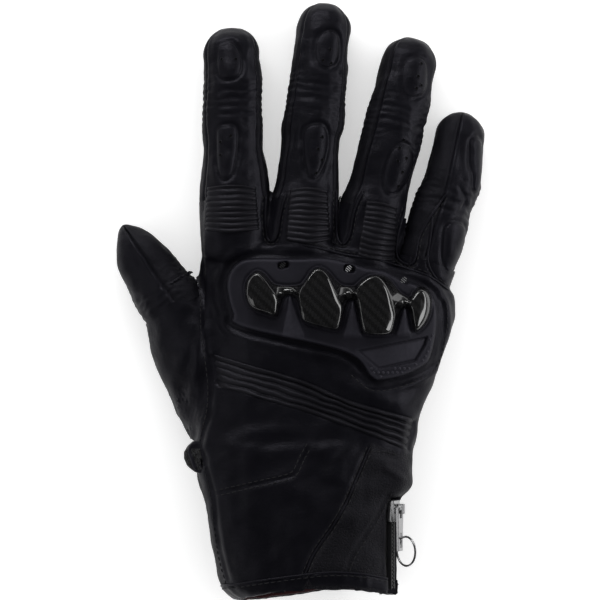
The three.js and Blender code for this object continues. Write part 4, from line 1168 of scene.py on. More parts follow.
def padPiece(name, outline, height, finish, node, rings=16, faded=0.0, below=False, floor=-np.inf):
    centre = outline.mean(0)
    share = np.linspace(0.0, 1, rings + 1)[1:] ** 0.8
    spots = centre + share[:, None, None] * (outline - centre)
    base, normals = laidOn(spots, below)
    middle = laidOn(centre[None], below)[0]
    blend = evened(base, 3)
    fade = smoothStep(0.75, 1.0, share)[:, None]
    across = (spots[..., 0] - centre[0]) / np.abs(outline[:, 0] - centre[0]).max()
    lift = (height * (1 - share**3.4) - 0.55 * smoothStep(0.88, 1, share))[:, None]
    lift = lift * (1 - faded * smoothStep(0.05, 0.95, -across))
    soft = unit(normals.mean((0, 1)) * 0.6 + normals * 0.4)
    grid = blend * (1 - fade[..., None]) + base * fade[..., None] + lift[..., None] * soft
    tip = middle[0] + unit(soft.mean((0, 1))) * height
    points = np.vstack([grid.reshape(-1, 3), tip])
    points[:, 2] = np.maximum(points[:, 2], floor)
    count = len(outline)
    turn = np.arange(count)
    groups = [gridFaces(len(share), count, True),
              np.column_stack([np.full(count, len(points) - 1), (turn + 1) % count, turn])]
    area = np.sum(outline[:, 0] * np.roll(outline[:, 1], -1) - outline[:, 1] * np.roll(outline[:, 0], -1))
    if below == (area < 0):  # the faces look outwards
        groups = [group[:, ::-1] for group in groups]
    wear = np.append(np.repeat(0.35 * bell(share - 0.8, 0.12), count), 0.1)
    return makePiece(name, points, groups, finish, "hand" if below else None, wear, node)


padPieces = {}
for name, (outline, height, faded) in pads.items():
    padPieces[name] = padPiece(name + "_leather", padOutlines[name], height, "leather", name,
                               faded=faded)


# The foam under each pad pushes its leather out: a short cloth run, with the sewn edges held
padFoam = {
    "scale": 25, "frames": 20, "most": 0.5, "share": 0.8, "sewnRows": 3,
    "cloth": {"quality": 6, "mass": 0.25, "tension_stiffness": 12, "compression_stiffness": 12,
              "shear_stiffness": 5, "bending_stiffness": 0.6, "use_pressure": True,
              "uniform_pressure_force": 4.0, "vertex_group_mass": "sewn"},
}


def inflate(pieces):
    corners, faces, held = [], [], []
    for name, piece in pieces.items():
        mesh, start = piece.data, len(corners)
        corners += [tuple(v.co * padFoam["scale"]) for v in mesh.vertices]
        faces += [tuple(start + v for v in face.vertices) for face in mesh.polygons]
        tip = len(corners) - 1
        held += range(tip - padFoam["sewnRows"] * len(padOutlines[name]), tip)
    mesh = bpy.data.meshes.new("pad_foam_run")
    mesh.from_pydata(corners, [], faces)
    run = bpy.data.objects.new("pad_foam_run", mesh)
    bpy.context.scene.collection.objects.link(run)
    run.vertex_groups.new(name="sewn").add(held, 1.0, "REPLACE")
    cloth = run.modifiers.new("foam", "CLOTH")
    for setting, value in padFoam["cloth"].items():
        setattr(cloth.settings, setting, value)
    cloth.settings.effector_weights.gravity = 0
    cloth.point_cache.frame_start, cloth.point_cache.frame_end = 1, padFoam["frames"]
    for step in range(1, padFoam["frames"] + 1):
        bpy.context.scene.frame_set(step)
    pushed = run.evaluated_get(bpy.context.evaluated_depsgraph_get()).to_mesh()
    moved = np.array([v.co for v in pushed.vertices]) - np.array(corners)
    moved *= 1000 / padFoam["scale"] * padFoam["share"]
    length = np.linalg.norm(moved, axis=1, keepdims=True)
    moved *= np.minimum(length, padFoam["most"]) / np.maximum(length, 1e-6)
    bpy.data.objects.remove(run)
    bpy.context.scene.frame_set(1)
    print("foam run moves pads by up to", round(float(length.max()), 2), "mm")
    start = 0
    for piece in pieces.values():
        count = len(piece.data.vertices)
        spots = np.empty(count * 3, np.float32)
        piece.data.vertices.foreach_get("co", spots)
        spots = spots.reshape(-1, 3) + moved[start:start + count] / 1000
        piece.data.vertices.foreach_set("co", spots.astype(np.float32).ravel())
        piece.data.update()
        start += count


inflate(padPieces)
for name, piece in padPieces.items():
    finger = name.split("_")[0]
    if name == "little_mid_pad":  # it lies over the root of its finger
        bendAt(piece, fingerShapes[finger], "hand", "little_finger", (2, 17))
    else:
        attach(piece, finger + ("_fingertip" if "_tip_" in name else "_finger"))
print("pads made")


# Thread, piping and punched holes
threadLook = {"colour": (0.0045, 0.0045, 0.0056), "pale": (0.02, 0.0195, 0.0225), "ply": 2.4}
paint, where = fresh("thread")
ply = paint.bands(where, threadLook["ply"], "DIAGONAL", 0.6)
paint.finish({"Base Color": paint.mixColour((ply * 0.6 + paint.noise(where, 0.3) * 0.4).held(),
                                            threadLook["colour"], threadLook["pale"]),
              "Roughness": (0.55 + 0.2 * ply).held(), "Normal": paint.bump(ply, 0.6, 0.00008)},
             {"Specular IOR Level": 0.3})
# painted shade: each punched hole is a flat dark patch on the surface whose colour stands for the shade
# inside the hole
holeShadeLook = {"dark": (0.0008, 0.0008, 0.001), "pale": (0.003, 0.003, 0.003)}
paint, where = fresh("punchedHoleShade")
paint.finish({"Base Color": paint.mixColour(paint.noise(where, 1.5), holeShadeLook["dark"], holeShadeLook["pale"]),
              "Roughness": (0.7 + 0.3 * paint.noise(where, 3.0)).held()}, {"Specular IOR Level": 0.1})


def stitchRow(name, line, normals, pitch, long, thick, body=None):
    gone = goneAlong(line)
    starts = np.arange(0.5 * (pitch - long), gone[-1] - long, pitch)
    t = np.linspace(0, 1, 6)
    at = starts[:, None] + long * t
    middle, up = (np.stack([np.interp(at, gone, c) for c in values.T], -1) for values in (line, normals))
    up = unit(up)
    side = unit(np.cross(unit(np.gradient(middle, axis=1)), up))
    arch = (np.sin(np.pi * t) ** 0.7)[None, :, None]
    middle = middle + up * (0.05 + thick * (arch - 0.45))
    angles = np.arange(6) * math.pi / 3
    girth = thick * (0.45 + 0.55 * arch[..., None])
    ring = (side[:, :, None] * np.cos(angles)[:, None]
            + up[:, :, None] * np.sin(angles)[:, None] * 0.85) * girth
    points = middle[:, :, None] + ring
    faces = (np.arange(len(starts))[:, None, None] * 36 + gridFaces(6, 6, True)).reshape(-1, 4)
    return makePiece(name, points.reshape(-1, 3), faces, "thread", body)


def welt(name, line, normals, radius, body=None, sink=0.35, fade=(1, 1)):  # a round leather edge
    sides = 8
    way = unit(np.gradient(line, axis=0))
    side = unit(np.cross(way, normals))
    up = unit(np.cross(side, way))
    t = np.linspace(0, 1, len(line))
    thin = 1 - 0.8 * (fade[0] * smoothStep(0.06, 0, t) + fade[1] * smoothStep(0.94, 1, t))
    angles = np.arange(sides) * 2 * math.pi / sides
    ring = side[:, None] * np.cos(angles)[:, None] + up[:, None] * np.sin(angles)[:, None]
    points = line[:, None] + ring * (radius * thin)[:, None, None] - (up * radius * sink)[:, None]
    ends = [np.arange(sides)[None, ::-1], (len(line) - 1) * sides + np.arange(sides)[None]]
    return makePiece(name, points.reshape(-1, 3), [gridFaces(len(line), sides, True), *ends], "leather", body,
                     np.full(len(line) * sides, 0.45))


def alongSkin(line, times):
    place, normal = laidOn(line)
    for _ in range(times):
        for values in (place, normal):
            values[1:-1] = (values[:-2] + 2 * values[1:-1] + values[2:]) / 4
    return place, unit(normal)


def beside(line, away):  # the same plan line moved sideways
    way = unit(np.gradient(line, axis=0))
    return line + np.column_stack([-way[:, 1], way[:, 0]]) * away


welts = {  # the radius of the piping along each seam of the back
    "webIndex": 0.55, "webMiddle": 0.55, "webRing": 0.55, "arc": 0.5, "littleSide": 0.5, "cuffDiagonal": 0.42,
}
seamFingers = {  # the fingers that the ends of a seam belong to; their pieces are only baked in place, not bent
    "webIndex": ("index", "middle"), "webMiddle": ("middle", "ring"), "webRing": ("ring", "little"),
    "littleSide": ("little",), "leftSide": ("index",),
}
stitches = {  # how far each row lies to the right of its seam, or to the left
    "leftSide": (-1.5,), "cuffUpper": (-1.2, 1.2), "cuffDiagonal": (-1.2, 1.3), "cuffGrained": (1.2,),
    "arc": (1.3,), "webIndex": (-1.3,), "webMiddle": (-1.3,), "webRing": (-1.3,), "sideFlap": (1.2,),
    "guardSide": (-1.4,),
}
stitchSize = {  # pitch, length and thickness
    "seam": (2.6, 1.9, 0.23), "hem": (2.8, 2.0, 0.2), "strap": (2.8, 2.0, 0.22), "patch": (2.9, 2.0, 0.24),
}


def seamParts(name, place):  # the runs of a seam, each with its finger and the ends that are free
    fingers = seamFingers.get(name, (None,))
    if len(fingers) == 1:
        return [(slice(None), fingers[0], (1, 1))]
    low = int(np.argmin(place[:, 1]))
    return [(slice(0, low + 1), fingers[0], (1, 0)), (slice(low, None), fingers[1], (0, 1))]


def withFinger(piece, finger):
    if finger is None:
        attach(piece, "hand")
    else:
        bendAt(piece, fingerShapes[finger], "hand", finger + "_finger", fingerShapes[finger]["bend"])


for name, radius in welts.items():
    place, normal = alongSkin(seamLines[name], 4)
    for n, (part, finger, free) in enumerate(seamParts(name, place)):
        line = (place + 0.35 * normal)[part]
        withFinger(welt(f"{name}_piping_{n}", line, normal[part], radius, fade=free), finger)
for name, rows in stitches.items():
    for n, away in enumerate(rows):
        line = beside(seamLines[name], away)
        there = meets(line) & meets(line - [0.8, 0])
        first = np.argmax(there)
        gone = np.flatnonzero(~there[first:])
        line = line[first:first + gone[0] if len(gone) else None]  # the run that lies on leather
        place, normal = alongSkin(line, 2)
        for m, (part, finger, free) in enumerate(seamParts(name, place)):
            row = stitchRow(f"{name}_stitches_{n}_{m}", place[part], normal[part], *stitchSize["seam"])
            withFinger(row, finger)


holeSpots = {
    "index_finger": ((221, 143), (221, 156), (231, 137)),
    "index_fingertip": ((222, 60), (236, 60)),
    "middle_finger": ((322, 138), (318, 150), (322, 161), (316, 174)),
    "middle_fingertip": ((330, 50), (323, 61), (331, 64)),
    "ring_finger": ((403, 141), (399, 149), (406, 159), (397, 162), (402, 173), (398, 187)),
    "ring_fingertip": ((421, 64), (418, 77), (416, 89), (421, 86)),
}
holeRings = ((1.1, -0.25), (0.85, 0.16), (0.6, 0.15), (0.52, 0.06), (0.02, 0.05))  # radius, height
padTree = treeOf(list(padPieces.values()) + skinPieces)
for body, places in holeSpots.items():
    points, faces = [], []
    for place in onPlan(*places):
        spot, up = laidOn(place[None], tree=padTree)
        spot, up = spot[0], unit(up[0])
        right = unit(np.cross(up, [0, 1, 0]))
        ahead = np.cross(right, up)
        faces.append(len(points) + gridFaces(5, 12, True))
        for radius, lift in holeRings:
            for angle in np.arange(12) * math.pi / 6:
                points.append(spot + up * lift + radius * (right * math.cos(angle) + ahead * math.sin(angle)))
    unworn = np.zeros(len(points))
    made = makePiece(body + "_punched_holes", points, np.vstack(faces), "leather", body, unworn)
    made.data.materials.append(paints["punchedHoleShade"])
    # the inner rings of each hole take the painted shade
    dark = np.tile(np.repeat([0, 0, 1, 1], 12), len(places)).astype(np.int32)
    made.data.polygons.foreach_set("material_index", dark)
print("seams, stitches and holes made")


# The knuckle guard: a moulded bezel and a glossy carbon shell
guard = {
    "cell": 0.42, "thick": 2.7, "round": 1.5, "under": 0.9, "grooveDepth": 0.55, "lift": 0.2,
    "wedges": [  # tip, left and right foot, height at the tip and at the foot
        ((290, 297), (284, 334), (303, 335), 1.6, 0.3), ((352, 302), (344, 334), (359.5, 335), 2.7, 1.0),
        ((403.5, 309), (396.5, 333), (408.5, 333), 2.6, 1.0)],
    "recess": ((356, 350), (426.5, 336), (424, 345), (415, 360.5), (377, 368.5)), "recessDepth": 1.15,
    "vents": [  # place, width, height, turn
        ((283.5, 265.5), 5.0, 3.0, -10), ((348.8, 269), 5.2, 3.4, 15), ((403.5, 280.5), 4.6, 2.8, 28)],
    "ventDepth": 3.0, "bare": (0.05, 1.0, 0.4),  # how pale the wire of each vent is painted: partly bare wire, partly painted highlight where one vent catches the light
    "barHigh": 1.6, "barRadius": 0.2, "barPitch": 0.82,
    "bars": ((-1.5, 0.7), (-0.5, 1.05), (0.5, 1.05), (1.5, 0.7)),  # place in the vent, half length
    "dotPitch": 2.0, "dotWide": 0.62, "dotHigh": 0.42,
    "dotRings": ((1.15, -0.35), (1, 0.25), (0.8, 0.7), (0.42, 0.97), (0.1, 1.0)),  # radius, height
}
shell = {
    "cell": 0.36, "edge": 0.35, "sink": 0.5, "gap": 0.3, "evened": 2,
    "chamfer": (2.1, 0.95), "chamferSlope": 0.6,  # width at the foot and at the top of a dome
    "outline": ((245, 290), (246.5, 281), (251, 274.5), (257, 270.5), (264, 273), (269.5, 279), (275, 284),
                (283, 285.7), (294, 285.7), (301, 284), (306, 278), (310, 271.5), (315, 267.5), (320, 267.2),
                (326, 270), (331, 275), (336, 281), (341.5, 285), (348, 286.2), (354, 285.5), (359, 281),
                (366, 276), (374, 274.3), (382, 275), (389, 279.5), (394, 286), (399, 292), (405, 296),
                (409, 296.5), (412, 291.5), (417, 287), (423, 287), (428, 291), (431, 300), (430, 312),
                (426, 322), (420, 329), (414, 332), (411.5, 326), (410, 318), (408.5, 311), (404, 307.5),
                (400, 311), (396.5, 319), (393.5, 328), (390, 334), (376, 335), (363, 333.5), (359.5, 325),
                (356.5, 311), (353.5, 301), (350, 299.5), (346.5, 303), (343.5, 312), (341, 322),
                (337.5, 330), (325, 328.5), (303.5, 321.5), (300, 312), (297, 301.5), (293.5, 296.5),
                (288, 295.5), (283.5, 299), (280.5, 307), (277, 316.5), (266, 314.5), (252.5, 309),
                (247, 301)),
    "domes": [  # outline of the flat front, height
        (((257, 275), (250.5, 284), (249, 297), (254, 305.5), (268, 310), (274, 312), (274, 302), (269, 290),
          (262.5, 279.5)), 5.4),
        (((317, 270.5), (310, 277.5), (304.8, 286), (301.5, 300), (303, 318), (319, 324), (335, 327),
          (339.5, 312), (334, 300), (329.4, 286.5), (324.5, 275.5)), 6.5),
        (((373, 277.5), (364.5, 281.5), (359.2, 288.5), (359.5, 306), (364, 330), (384, 333), (390.5, 319),
          (388, 305), (384.5, 291), (379, 281)), 6.3),
        (((419.5, 291.5), (413.5, 298), (412, 309), (414.5, 327), (420.5, 320), (424.5, 309),
          (424, 297)), 4.6)],
}


mouldedLook = {"dark": (0.0048, 0.0046, 0.0072), "pale": (0.0082, 0.0078, 0.0118),
               "worn": (0.0225, 0.0216, 0.028), "shine": 0.5, "stipple": 2.2}
paint, where = fresh("mouldedRubber")
broad = paint.noise(where, 0.12, 3.0)
stipple = paint.cells(where, mouldedLook["stipple"])
# on the bezel the wear attribute also carries painted shade: it is lowered along the recess's deep sides
wear = (paint.attribute("wear", "Fac") * (0.5 + paint.noise(where, 0.6))).held()
colour = paint.mixColour((broad * 1.5 - 0.25).held(), mouldedLook["dark"], mouldedLook["pale"])
paint.finish({"Base Color": paint.mixColour(wear, colour, mouldedLook["worn"]),
              "Roughness": (mouldedLook["shine"] + 0.14 * broad - 0.1 * wear).held(),
              "Normal": paint.bump(stipple, 0.25, 0.00008)},
             {"Specular IOR Level": 0.3, "Specular Tint": (0.86, 0.84, 1, 1)})

# the pale colour stands for bare wire together with painted highlight
wireLook = {"dark": (0.006, 0.006, 0.007), "bare": (0.34, 0.34, 0.35)}
paint, where = fresh("ventWire")
bare = (paint.attribute("wear", "Fac") * (0.7 + 0.6 * paint.noise(where, 0.8))).held()
paint.finish({"Base Color": paint.mixColour(bare, wireLook["dark"], wireLook["bare"]),
              "Roughness": (0.3 + 0.2 * paint.noise(where, 2.5)).held(),
              "Normal": paint.bump(paint.noise(where, 3.0), 0.2, 0.00005)}, {"Specular IOR Level": 0.5})

carbonLook = {"tow": 1.15, "dark": (0.0003, 0.0003, 0.0005), "pale": (0.0072, 0.0072, 0.0076)}
paint, where = fresh("carbonShell")
split = paint.node("ShaderNodeSeparateXYZ", {}, {0: where})
across, along = (split.out(axis) * (1 / carbonLook["tow"]) for axis in "XY")
turnOver = (across.math("FLOOR") + along.math("FLOOR")) * 0.25
turnOver = turnOver.math("FRACT").math("GREATER_THAN", 0.49)  # the twill: two over, two under
warp, weft = ((way.math("FRACT") - 0.5).math("ABSOLUTE") for way in (across, along))
strand = turnOver * warp + (1 - turnOver) * weft
threads = paint.noise(paint.stretched(where, (1.0, 1.0, 0.2)), 5.0, 2.0)
weave = (turnOver * 0.7 + (0.5 - strand) * 0.6 + (threads - 0.5) * 0.6).held()
rubbed = (paint.attribute("wear", "Fac") * paint.noise(where, 0.9)).held()
paint.finish({"Base Color": paint.mixColour(weave, carbonLook["dark"], carbonLook["pale"]),
              "Roughness": (0.42 - 0.12 * weave + 0.08 * threads).held(),
              "Coat Weight": (0.97 - 0.25 * rubbed).held(), "Normal": paint.bump(weave, 0.25, 0.0001)},
             {"Specular IOR Level": 0.08, "Coat Roughness": 0.07, "Coat IOR": 1.9})


def softTop(low, high, step, times):  # the height of the back as one smooth sheet
    xs, ys = np.arange(low[0], high[0] + step, step), np.arange(low[1], high[1] + step, step)
    spots = np.stack(np.meshgrid(xs, ys, indexing="ij"), -1)
    heights = evened(laidOn(spots)[0], times)[..., 2]

    def at(spots):
        i = np.clip((spots[..., 0] - xs[0]) / step, 0, len(xs) - 1.001)
        j = np.clip((spots[..., 1] - ys[0]) / step, 0, len(ys) - 1.001)
        a, b = i.astype(int), j.astype(int)
        u, v = i - a, j - b
        return ((heights[a, b] * (1 - u) + heights[a + 1, b] * u) * (1 - v)
                + (heights[a, b + 1] * (1 - u) + heights[a + 1, b + 1] * u) * v)
    return at


def planNet(outline, cell):  # quads that fill a plan outline, their outer corners drawn onto it
    low, high = outline.min(0) - 1.5 * cell, outline.max(0) + 1.5 * cell
    spots = np.stack(np.meshgrid(np.arange(low[0], high[0], cell), np.arange(low[1], high[1], cell),
                                 indexing="ij"), -1)
    away = insideReach(spots.reshape(-1, 2), outline).reshape(spots.shape[:2])
    quads = gridFaces(*spots.shape[:2])
    kept = (away.ravel() > 0)[quads].any(1)
    used, numbers = cutOut(quads, kept)
    slope = np.stack(np.gradient(away, cell), -1)
    spots, away, slope = spots.reshape(-1, 2)[used], away.ravel()[used], slope.reshape(-1, 2)[used]
    outer = away < 0
    spots[outer] -= away[outer, None] * unit(slope[outer])
    away[outer] = 0
    return spots, away, numbers


backTop = softTop((-40, -45), (66, 30), 2.5, 5)
shellOutline = spline(onPlan(*shell["outline"]), 0.5, True)


def guardTop(away):  # the bezel's own height over the back
    arc = np.clip(away / guard["round"], 0, 1)
    height = guard["thick"] * np.sqrt(1 - (1 - arc) ** 2) - guard["under"] * (1 - smoothStep(0, 0.5, away))
    height += 0.35 * smoothStep(3, 14, away)
    return height


spots, away, quads = planNet(guardOutline, guard["cell"] * coarser)
height = guardTop(away) - guard["grooveDepth"] * bell(insideReach(spots, shellOutline) + 0.3, 0.5)
edgeWearAndShade = 0.5 * bell(away - 1.2, 0.6)
for tip, left, right, high, low in guard["wedges"]:
    (tx, ty), (lx, ly), (rx, ry) = onPlan(tip, left, right)
    down = np.clip((ty - spots[:, 1]) / (ty - ly), 0, 1)
    middle = tx + ((lx + rx) / 2 - tx) * down
    half = 0.45 + (rx - lx) / 2 * down
    across = np.abs(spots[:, 0] - middle)
    within = smoothStep(half + 0.25, half - 0.25, across) * smoothStep(ty + 0.6, ty - 0.3, spots[:, 1])
    within *= smoothStep(ly - 2.5, ly + 0.8, spots[:, 1])
    ridge = 0.55 * np.clip(1 - across / np.maximum(half, 0.3), 0, 1)
    height += within * (high + (low - high) * down + ridge)
    edgeWearAndShade += 0.7 * within
recess = onPlan(*guard["recess"])
recessAway = insideReach(spots, recess)
sloped = 0.35 + 0.65 * smoothStep(-0.5, 30, (spots - recess[0]) @ np.array([0.95, -0.3]))
groove = sloped * bell(recessAway - 0.45, 0.45)  # sunk along its deep sides, and painted dark there as shade
height -= guard["recessDepth"] * sloped * smoothStep(-0.15, 0.3, recessAway) + 0.5 * groove
for spot, wide, tall, turn in guard["vents"]:
    c, s = math.cos(math.radians(turn)), math.sin(math.radians(turn))
    local = (spots - onPlan(spot)[0]) @ np.array([[c, s], [-s, c]])
    hole = (np.abs(local[:, 0] / (wide / 2)) ** 3 + np.abs(local[:, 1] / (tall / 2)) ** 3) ** (1 / 3)
    height -= guard["ventDepth"] * smoothStep(1.05, 0.86, hole)
# painted shade: wear is taken away along the recess's deep sides, so the groove there is painted dark; the
# other terms are wear
edgeWearAndShade += 0.2 * bell(recessAway + 0.6, 0.4) + 0.55 * smoothStep(0.5, 1.4, recessAway) - 0.6 * groove
guardPoints = np.column_stack([spots, backTop(spots) + guard["lift"] + height])
makePiece("knuckle_bezel_moulding", guardPoints, quads, "mouldedRubber", "hand", edgeWearAndShade, "knuckle_bezel")

# raised dots on the band below the recess
rows = np.arange(-36, 20, guard["dotPitch"] * 0.87)
dots = np.array([(x + (n % 2) * guard["dotPitch"] / 2, y) for n, y in enumerate(rows)
                 for x in np.arange(20, 60, guard["dotPitch"])])
dotAway = insideReach(dots, guardOutline)
onBand = (dots[:, 1] < -22) | ((dots[:, 0] > 50) & (dots[:, 1] < -14.5))
dots = dots[(dotAway > 1.5) & (dotAway < 7) & (insideReach(dots, recess) < -1.0) & onBand]
angles = np.arange(10) * math.pi / 5
dome = np.array([(guard["dotWide"] * r * math.cos(a), guard["dotWide"] * r * math.sin(a),
                  guard["dotHigh"] * h) for r, h in guard["dotRings"] for a in angles])
dotBase = backTop(dots) + guard["lift"] + guardTop(insideReach(dots, guardOutline))
dotPoints = (np.column_stack([dots, dotBase])[:, None] + dome).reshape(-1, 3)
dotFaces = (np.arange(len(dots))[:, None, None] * len(dome) + gridFaces(5, 10, True)).reshape(-1, 4)
makePiece("knuckle_bezel_dots", dotPoints, dotFaces, "mouldedRubber", "hand", np.full(len(dotPoints), 0.9))

# the shell: a flat front on each dome, and flanks that run down to the outline
spots, away, quads = planNet(shellOutline, shell["cell"] * coarser)
rise = np.zeros(len(spots))
for front, high in shell["domes"]:
    outline = spline(onPlan(*front), 0.4, True)
    inside = insideReach(spots, outline)
    out, inward = np.maximum(-inside, 0), np.maximum(inside, 0)
    chamfer = np.interp(spots[:, 1], (outline[:, 1].min(), outline[:, 1].max()), shell["chamfer"])
    chamfer = np.minimum(chamfer, 0.5 * (away + out))
    share = np.clip(away / np.maximum(away + np.maximum(out - chamfer, 0), 1e-6), 0, 1) * (out < 9)
    flank = (high - shell["chamferSlope"] * chamfer) * (0.6 * share + 0.4 * share**2)
    flank = np.where(out < chamfer, high - shell["chamferSlope"] * out, flank)
    crown = 0.55 * (1 - np.exp(-inward / 2.5))
    lean = -0.05 * (spots[:, 1] - outline[:, 1].mean()) * smoothStep(0, 2, inward)
    rise = np.maximum(rise, flank + crown + lean)
height = shell["edge"] + rise
height -= (shell["sink"] + shell["edge"]) * (1 - smoothStep(0.0, 0.45, away))
for _ in range(shell["evened"]):
    total, count = np.zeros(len(spots)), np.zeros(len(spots))
    for a, b in ((0, 1), (1, 2), (2, 3), (3, 0)):
        for first, second in ((a, b), (b, a)):
            np.add.at(total, quads[:, first], height[quads[:, second]])
            np.add.at(count, quads[:, first], 1)
    height = np.where(away > 0.3, 0.5 * height + 0.5 * total / np.maximum(count, 1), height)
shellBase = backTop(spots) + guard["lift"] + guard["thick"] + shell["gap"]
makePiece("knuckle_shell_carbon", np.column_stack([spots, shellBase + height]), quads, "carbonShell", "hand",
          0.3 * bell(away - 0.5, 0.5), "knuckle_shell")

# slanting bars in the vents, some painted pale as bare wire and painted highlight
barPoints, barFaces, barWearAndShine = [], [], []
barWay, barStep = np.array([0.77, -0.64]), np.array([0.64, 0.77])
ringAngles = np.arange(8) * math.pi / 4
ring = (np.array([*barStep, 0]) * np.cos(ringAngles)[:, None]
        + np.array([0, 0, 1]) * np.sin(ringAngles)[:, None])
for (spot, wide, tall, turn), bare in zip(guard["vents"], guard["bare"]):
    for n, long in guard["bars"]:
        middle = onPlan(spot)[0] - [0.35, 0] + barStep * n * guard["barPitch"]
        line = middle + np.linspace(-long, long, 7)[:, None] * barWay
        top = np.column_stack([line, backTop(line) + guard["lift"] + guard["barHigh"]])
        barFaces.append(len(barPoints) * 56 + gridFaces(7, 8, True))
        barPoints.append((top[:, None] + guard["barRadius"] * ring).reshape(-1, 3))
        barWearAndShine.append(np.full(56, bare))
makePiece("knuckle_vent_bars", np.vstack(barPoints), np.vstack(barFaces), "ventWire", "hand",
          np.concatenate(barWearAndShine))
print("guard made")


# The cuff's hem, its lining, and the pieces on the palm side
def handSpot(level, angle, grow=0.0):  # points of the plain skin; angle runs from the back to +X
    level, angle, grow = np.broadcast_arrays(*(np.asarray(v, float) for v in (level, angle, grow)))
    left, right, bottom, top, skew, bow, lean = (np.interp(level, levels, c) for c in sectionAt)
    x = (left + right) / 2 + powered(np.sin(angle), 2 / handShape["power"]) * ((right - left) / 2 + grow)
    z = (bottom + top) / 2 + powered(np.cos(angle), 2 / handShape["power"]) * ((top - bottom) / 2 + grow)
    return np.stack([x, level + lean * (z - (bottom + top) / 2) - skew * x - bow * x * x, z], -1)


hem = {  # profiles: level along the hand, height over its plain skin
    "fold": [(-117.6, -0.9), (-118.0, 0.05), (-118.6, 0.55), (-119.5, 0.65), (-121.0, 0.6), (-122.3, 0.5),
             (-123.1, 0.3), (-123.6, -0.1), (-123.7, -1.0), (-123.3, -1.9), (-122.5, -2.3), (-120.8, -2.4),
             (-118.8, -2.45)],
    "trim": [(-122.9, -1.9), (-123.3, -2.5), (-122.9, -3.15), (-122, -3.35), (-120.4, -3.4), (-118, -3.4)],
    "lining": [(-119, -3.0), (-112, -3.4), (-100, -3.6), (-88, -3.7), (-70, -3.8), (-50, -4.2), (-36, -6)],
    "bead": (-117.9, 0.25), "beadRadius": 0.5, "thread": (-1.4, 0.72),  # the thread lies below the bead
}
allAngles = np.linspace(0, 2 * math.pi, 721)[:-1]
across, outward = zipCoords(handSpot(-121.0, allAngles))
gap = (np.abs(across) < zipLook["slot"] / 2) & (outward > -8)
start = np.flatnonzero(gap)[-1] + 1
openAngles = np.unwrap(np.roll(allAngles, -start)[:len(allAngles) - gap.sum()])


def cuffLoft(name, profile, angles, finish, closed, uneven, node=None, step=0.35):
    level, grow = spline(np.array(profile), step).T
    grid = handSpot(level[:, None], angles[None, :], grow[:, None])
    shifted = level[:, None] + hemShift(grid) * smoothStep(-112, -117, level)[:, None]
    grid = handSpot(shifted, angles[None, :], grow[:, None])
    flat = grid.reshape(-1, 3)
    normals = gridNormals(grid, closed).reshape(-1, 3)
    rub = ripple(flat * np.array([1, 0.4, 1]), 5.5) + 0.7 * ripple(flat + 9, 15)
    flat = flat + (uneven * rub)[:, None] * normals
    worn = 0.5 * np.repeat(bell(level - level.min(), 1.2), len(angles))
    faces = gridFaces(len(level), len(angles), closed)[:, ::-1]
    makePiece(name, flat, faces, finish, "hand", worn, node)


def outwardAt(level, angles):  # the way out of the plain skin
    return unit(handSpot(level, angles, 1.0) - handSpot(level, angles, 0.0))


cuffLoft("hem_binding_fold", hem["fold"], openAngles[::2], "leather", False, 0.15, "hem_binding")
beadAt, beadGrow = hem["bead"]
beadLevel = beadAt + hemShift(handSpot(beadAt, openAngles, beadGrow))
outward = outwardAt(beadLevel, openAngles)[::2]
crease = handSpot(beadLevel, openAngles, beadGrow)[::2] + 0.15 * outward
welt("hem_binding_bead", crease, outward, hem["beadRadius"], "hand", fade=(0, 0))
hemThread = handSpot(beadLevel + hem["thread"][0], openAngles, hem["thread"][1])[::2]
stitchRow("hem_stitches", hemThread, outward, *stitchSize["hem"], "hand")

liningLooks = {
    "lining": {"dark": (0.006, 0.005, 0.006), "pale": (0.02, 0.016, 0.018), "knit": 1.1},
    "liningTrim": {"dark": (0.014, 0.0024, 0.0032), "pale": (0.048, 0.0062, 0.009), "knit": 1.1},
}
for name, look in liningLooks.items():
    paint, where = fresh(name)
    knit = paint.cells(paint.stretched(where, (1.0, 1.6, 1.0)), look["knit"], "F1", 0.25)
    fuzz = paint.noise(where, 1.6, 4.0, 0.7)
    paint.finish({"Base Color": paint.mixColour((fuzz * 1.2 - knit * 0.4).held(), look["dark"], look["pale"]),
                  "Roughness": (0.8 + 0.2 * fuzz).held(),
                  "Normal": paint.bump(knit + fuzz * 0.4, 0.6, 0.00025)},
                 {"Specular IOR Level": 0.25, "Sheen Weight": 0.3, "Sheen Roughness": 0.4})
cuffLoft("cuff_lining_trim", hem["trim"], openAngles[::3], "liningTrim", False, 0.2)
cuffLoft("cuff_lining", hem["lining"], allAngles[::6], "lining", True, 0.5, step=1.2)
inner = handSpot(-36.0, allAngles[::6], -6.0)
cap = np.vstack([inner, inner.mean(0)])
turn = np.arange(len(inner))
fan = np.column_stack([turn, (turn + 1) % len(inner), np.full(len(inner), len(inner))])
makePiece("cuff_lining_end", cap, fan, "lining", "hand", np.zeros(len(cap)))

# The wrist strap: flat bands that run round the wrist, lofted about its skin
strap = {"low": -75.5, "high": -58.5, "outer": 4.7}
wristMiddle = (strap["low"] + strap["high"]) / 2


def angleAt(test):  # the first angle, going from the back round the thumb side, that passes a test
    around = -np.linspace(0, 2 * math.pi, 1441)
    return around[np.flatnonzero(test(handSpot(wristMiddle, around)))[0]]


def sideAngle(z):  # at that height on the thumb side
    return angleAt(lambda p: (p[:, 2] <= z) & (p[:, 0] < 0))


def underAngle(x):  # that far across the palm side
    return angleAt(lambda p: (p[:, 0] >= x) & (p[:, 2] < 20))


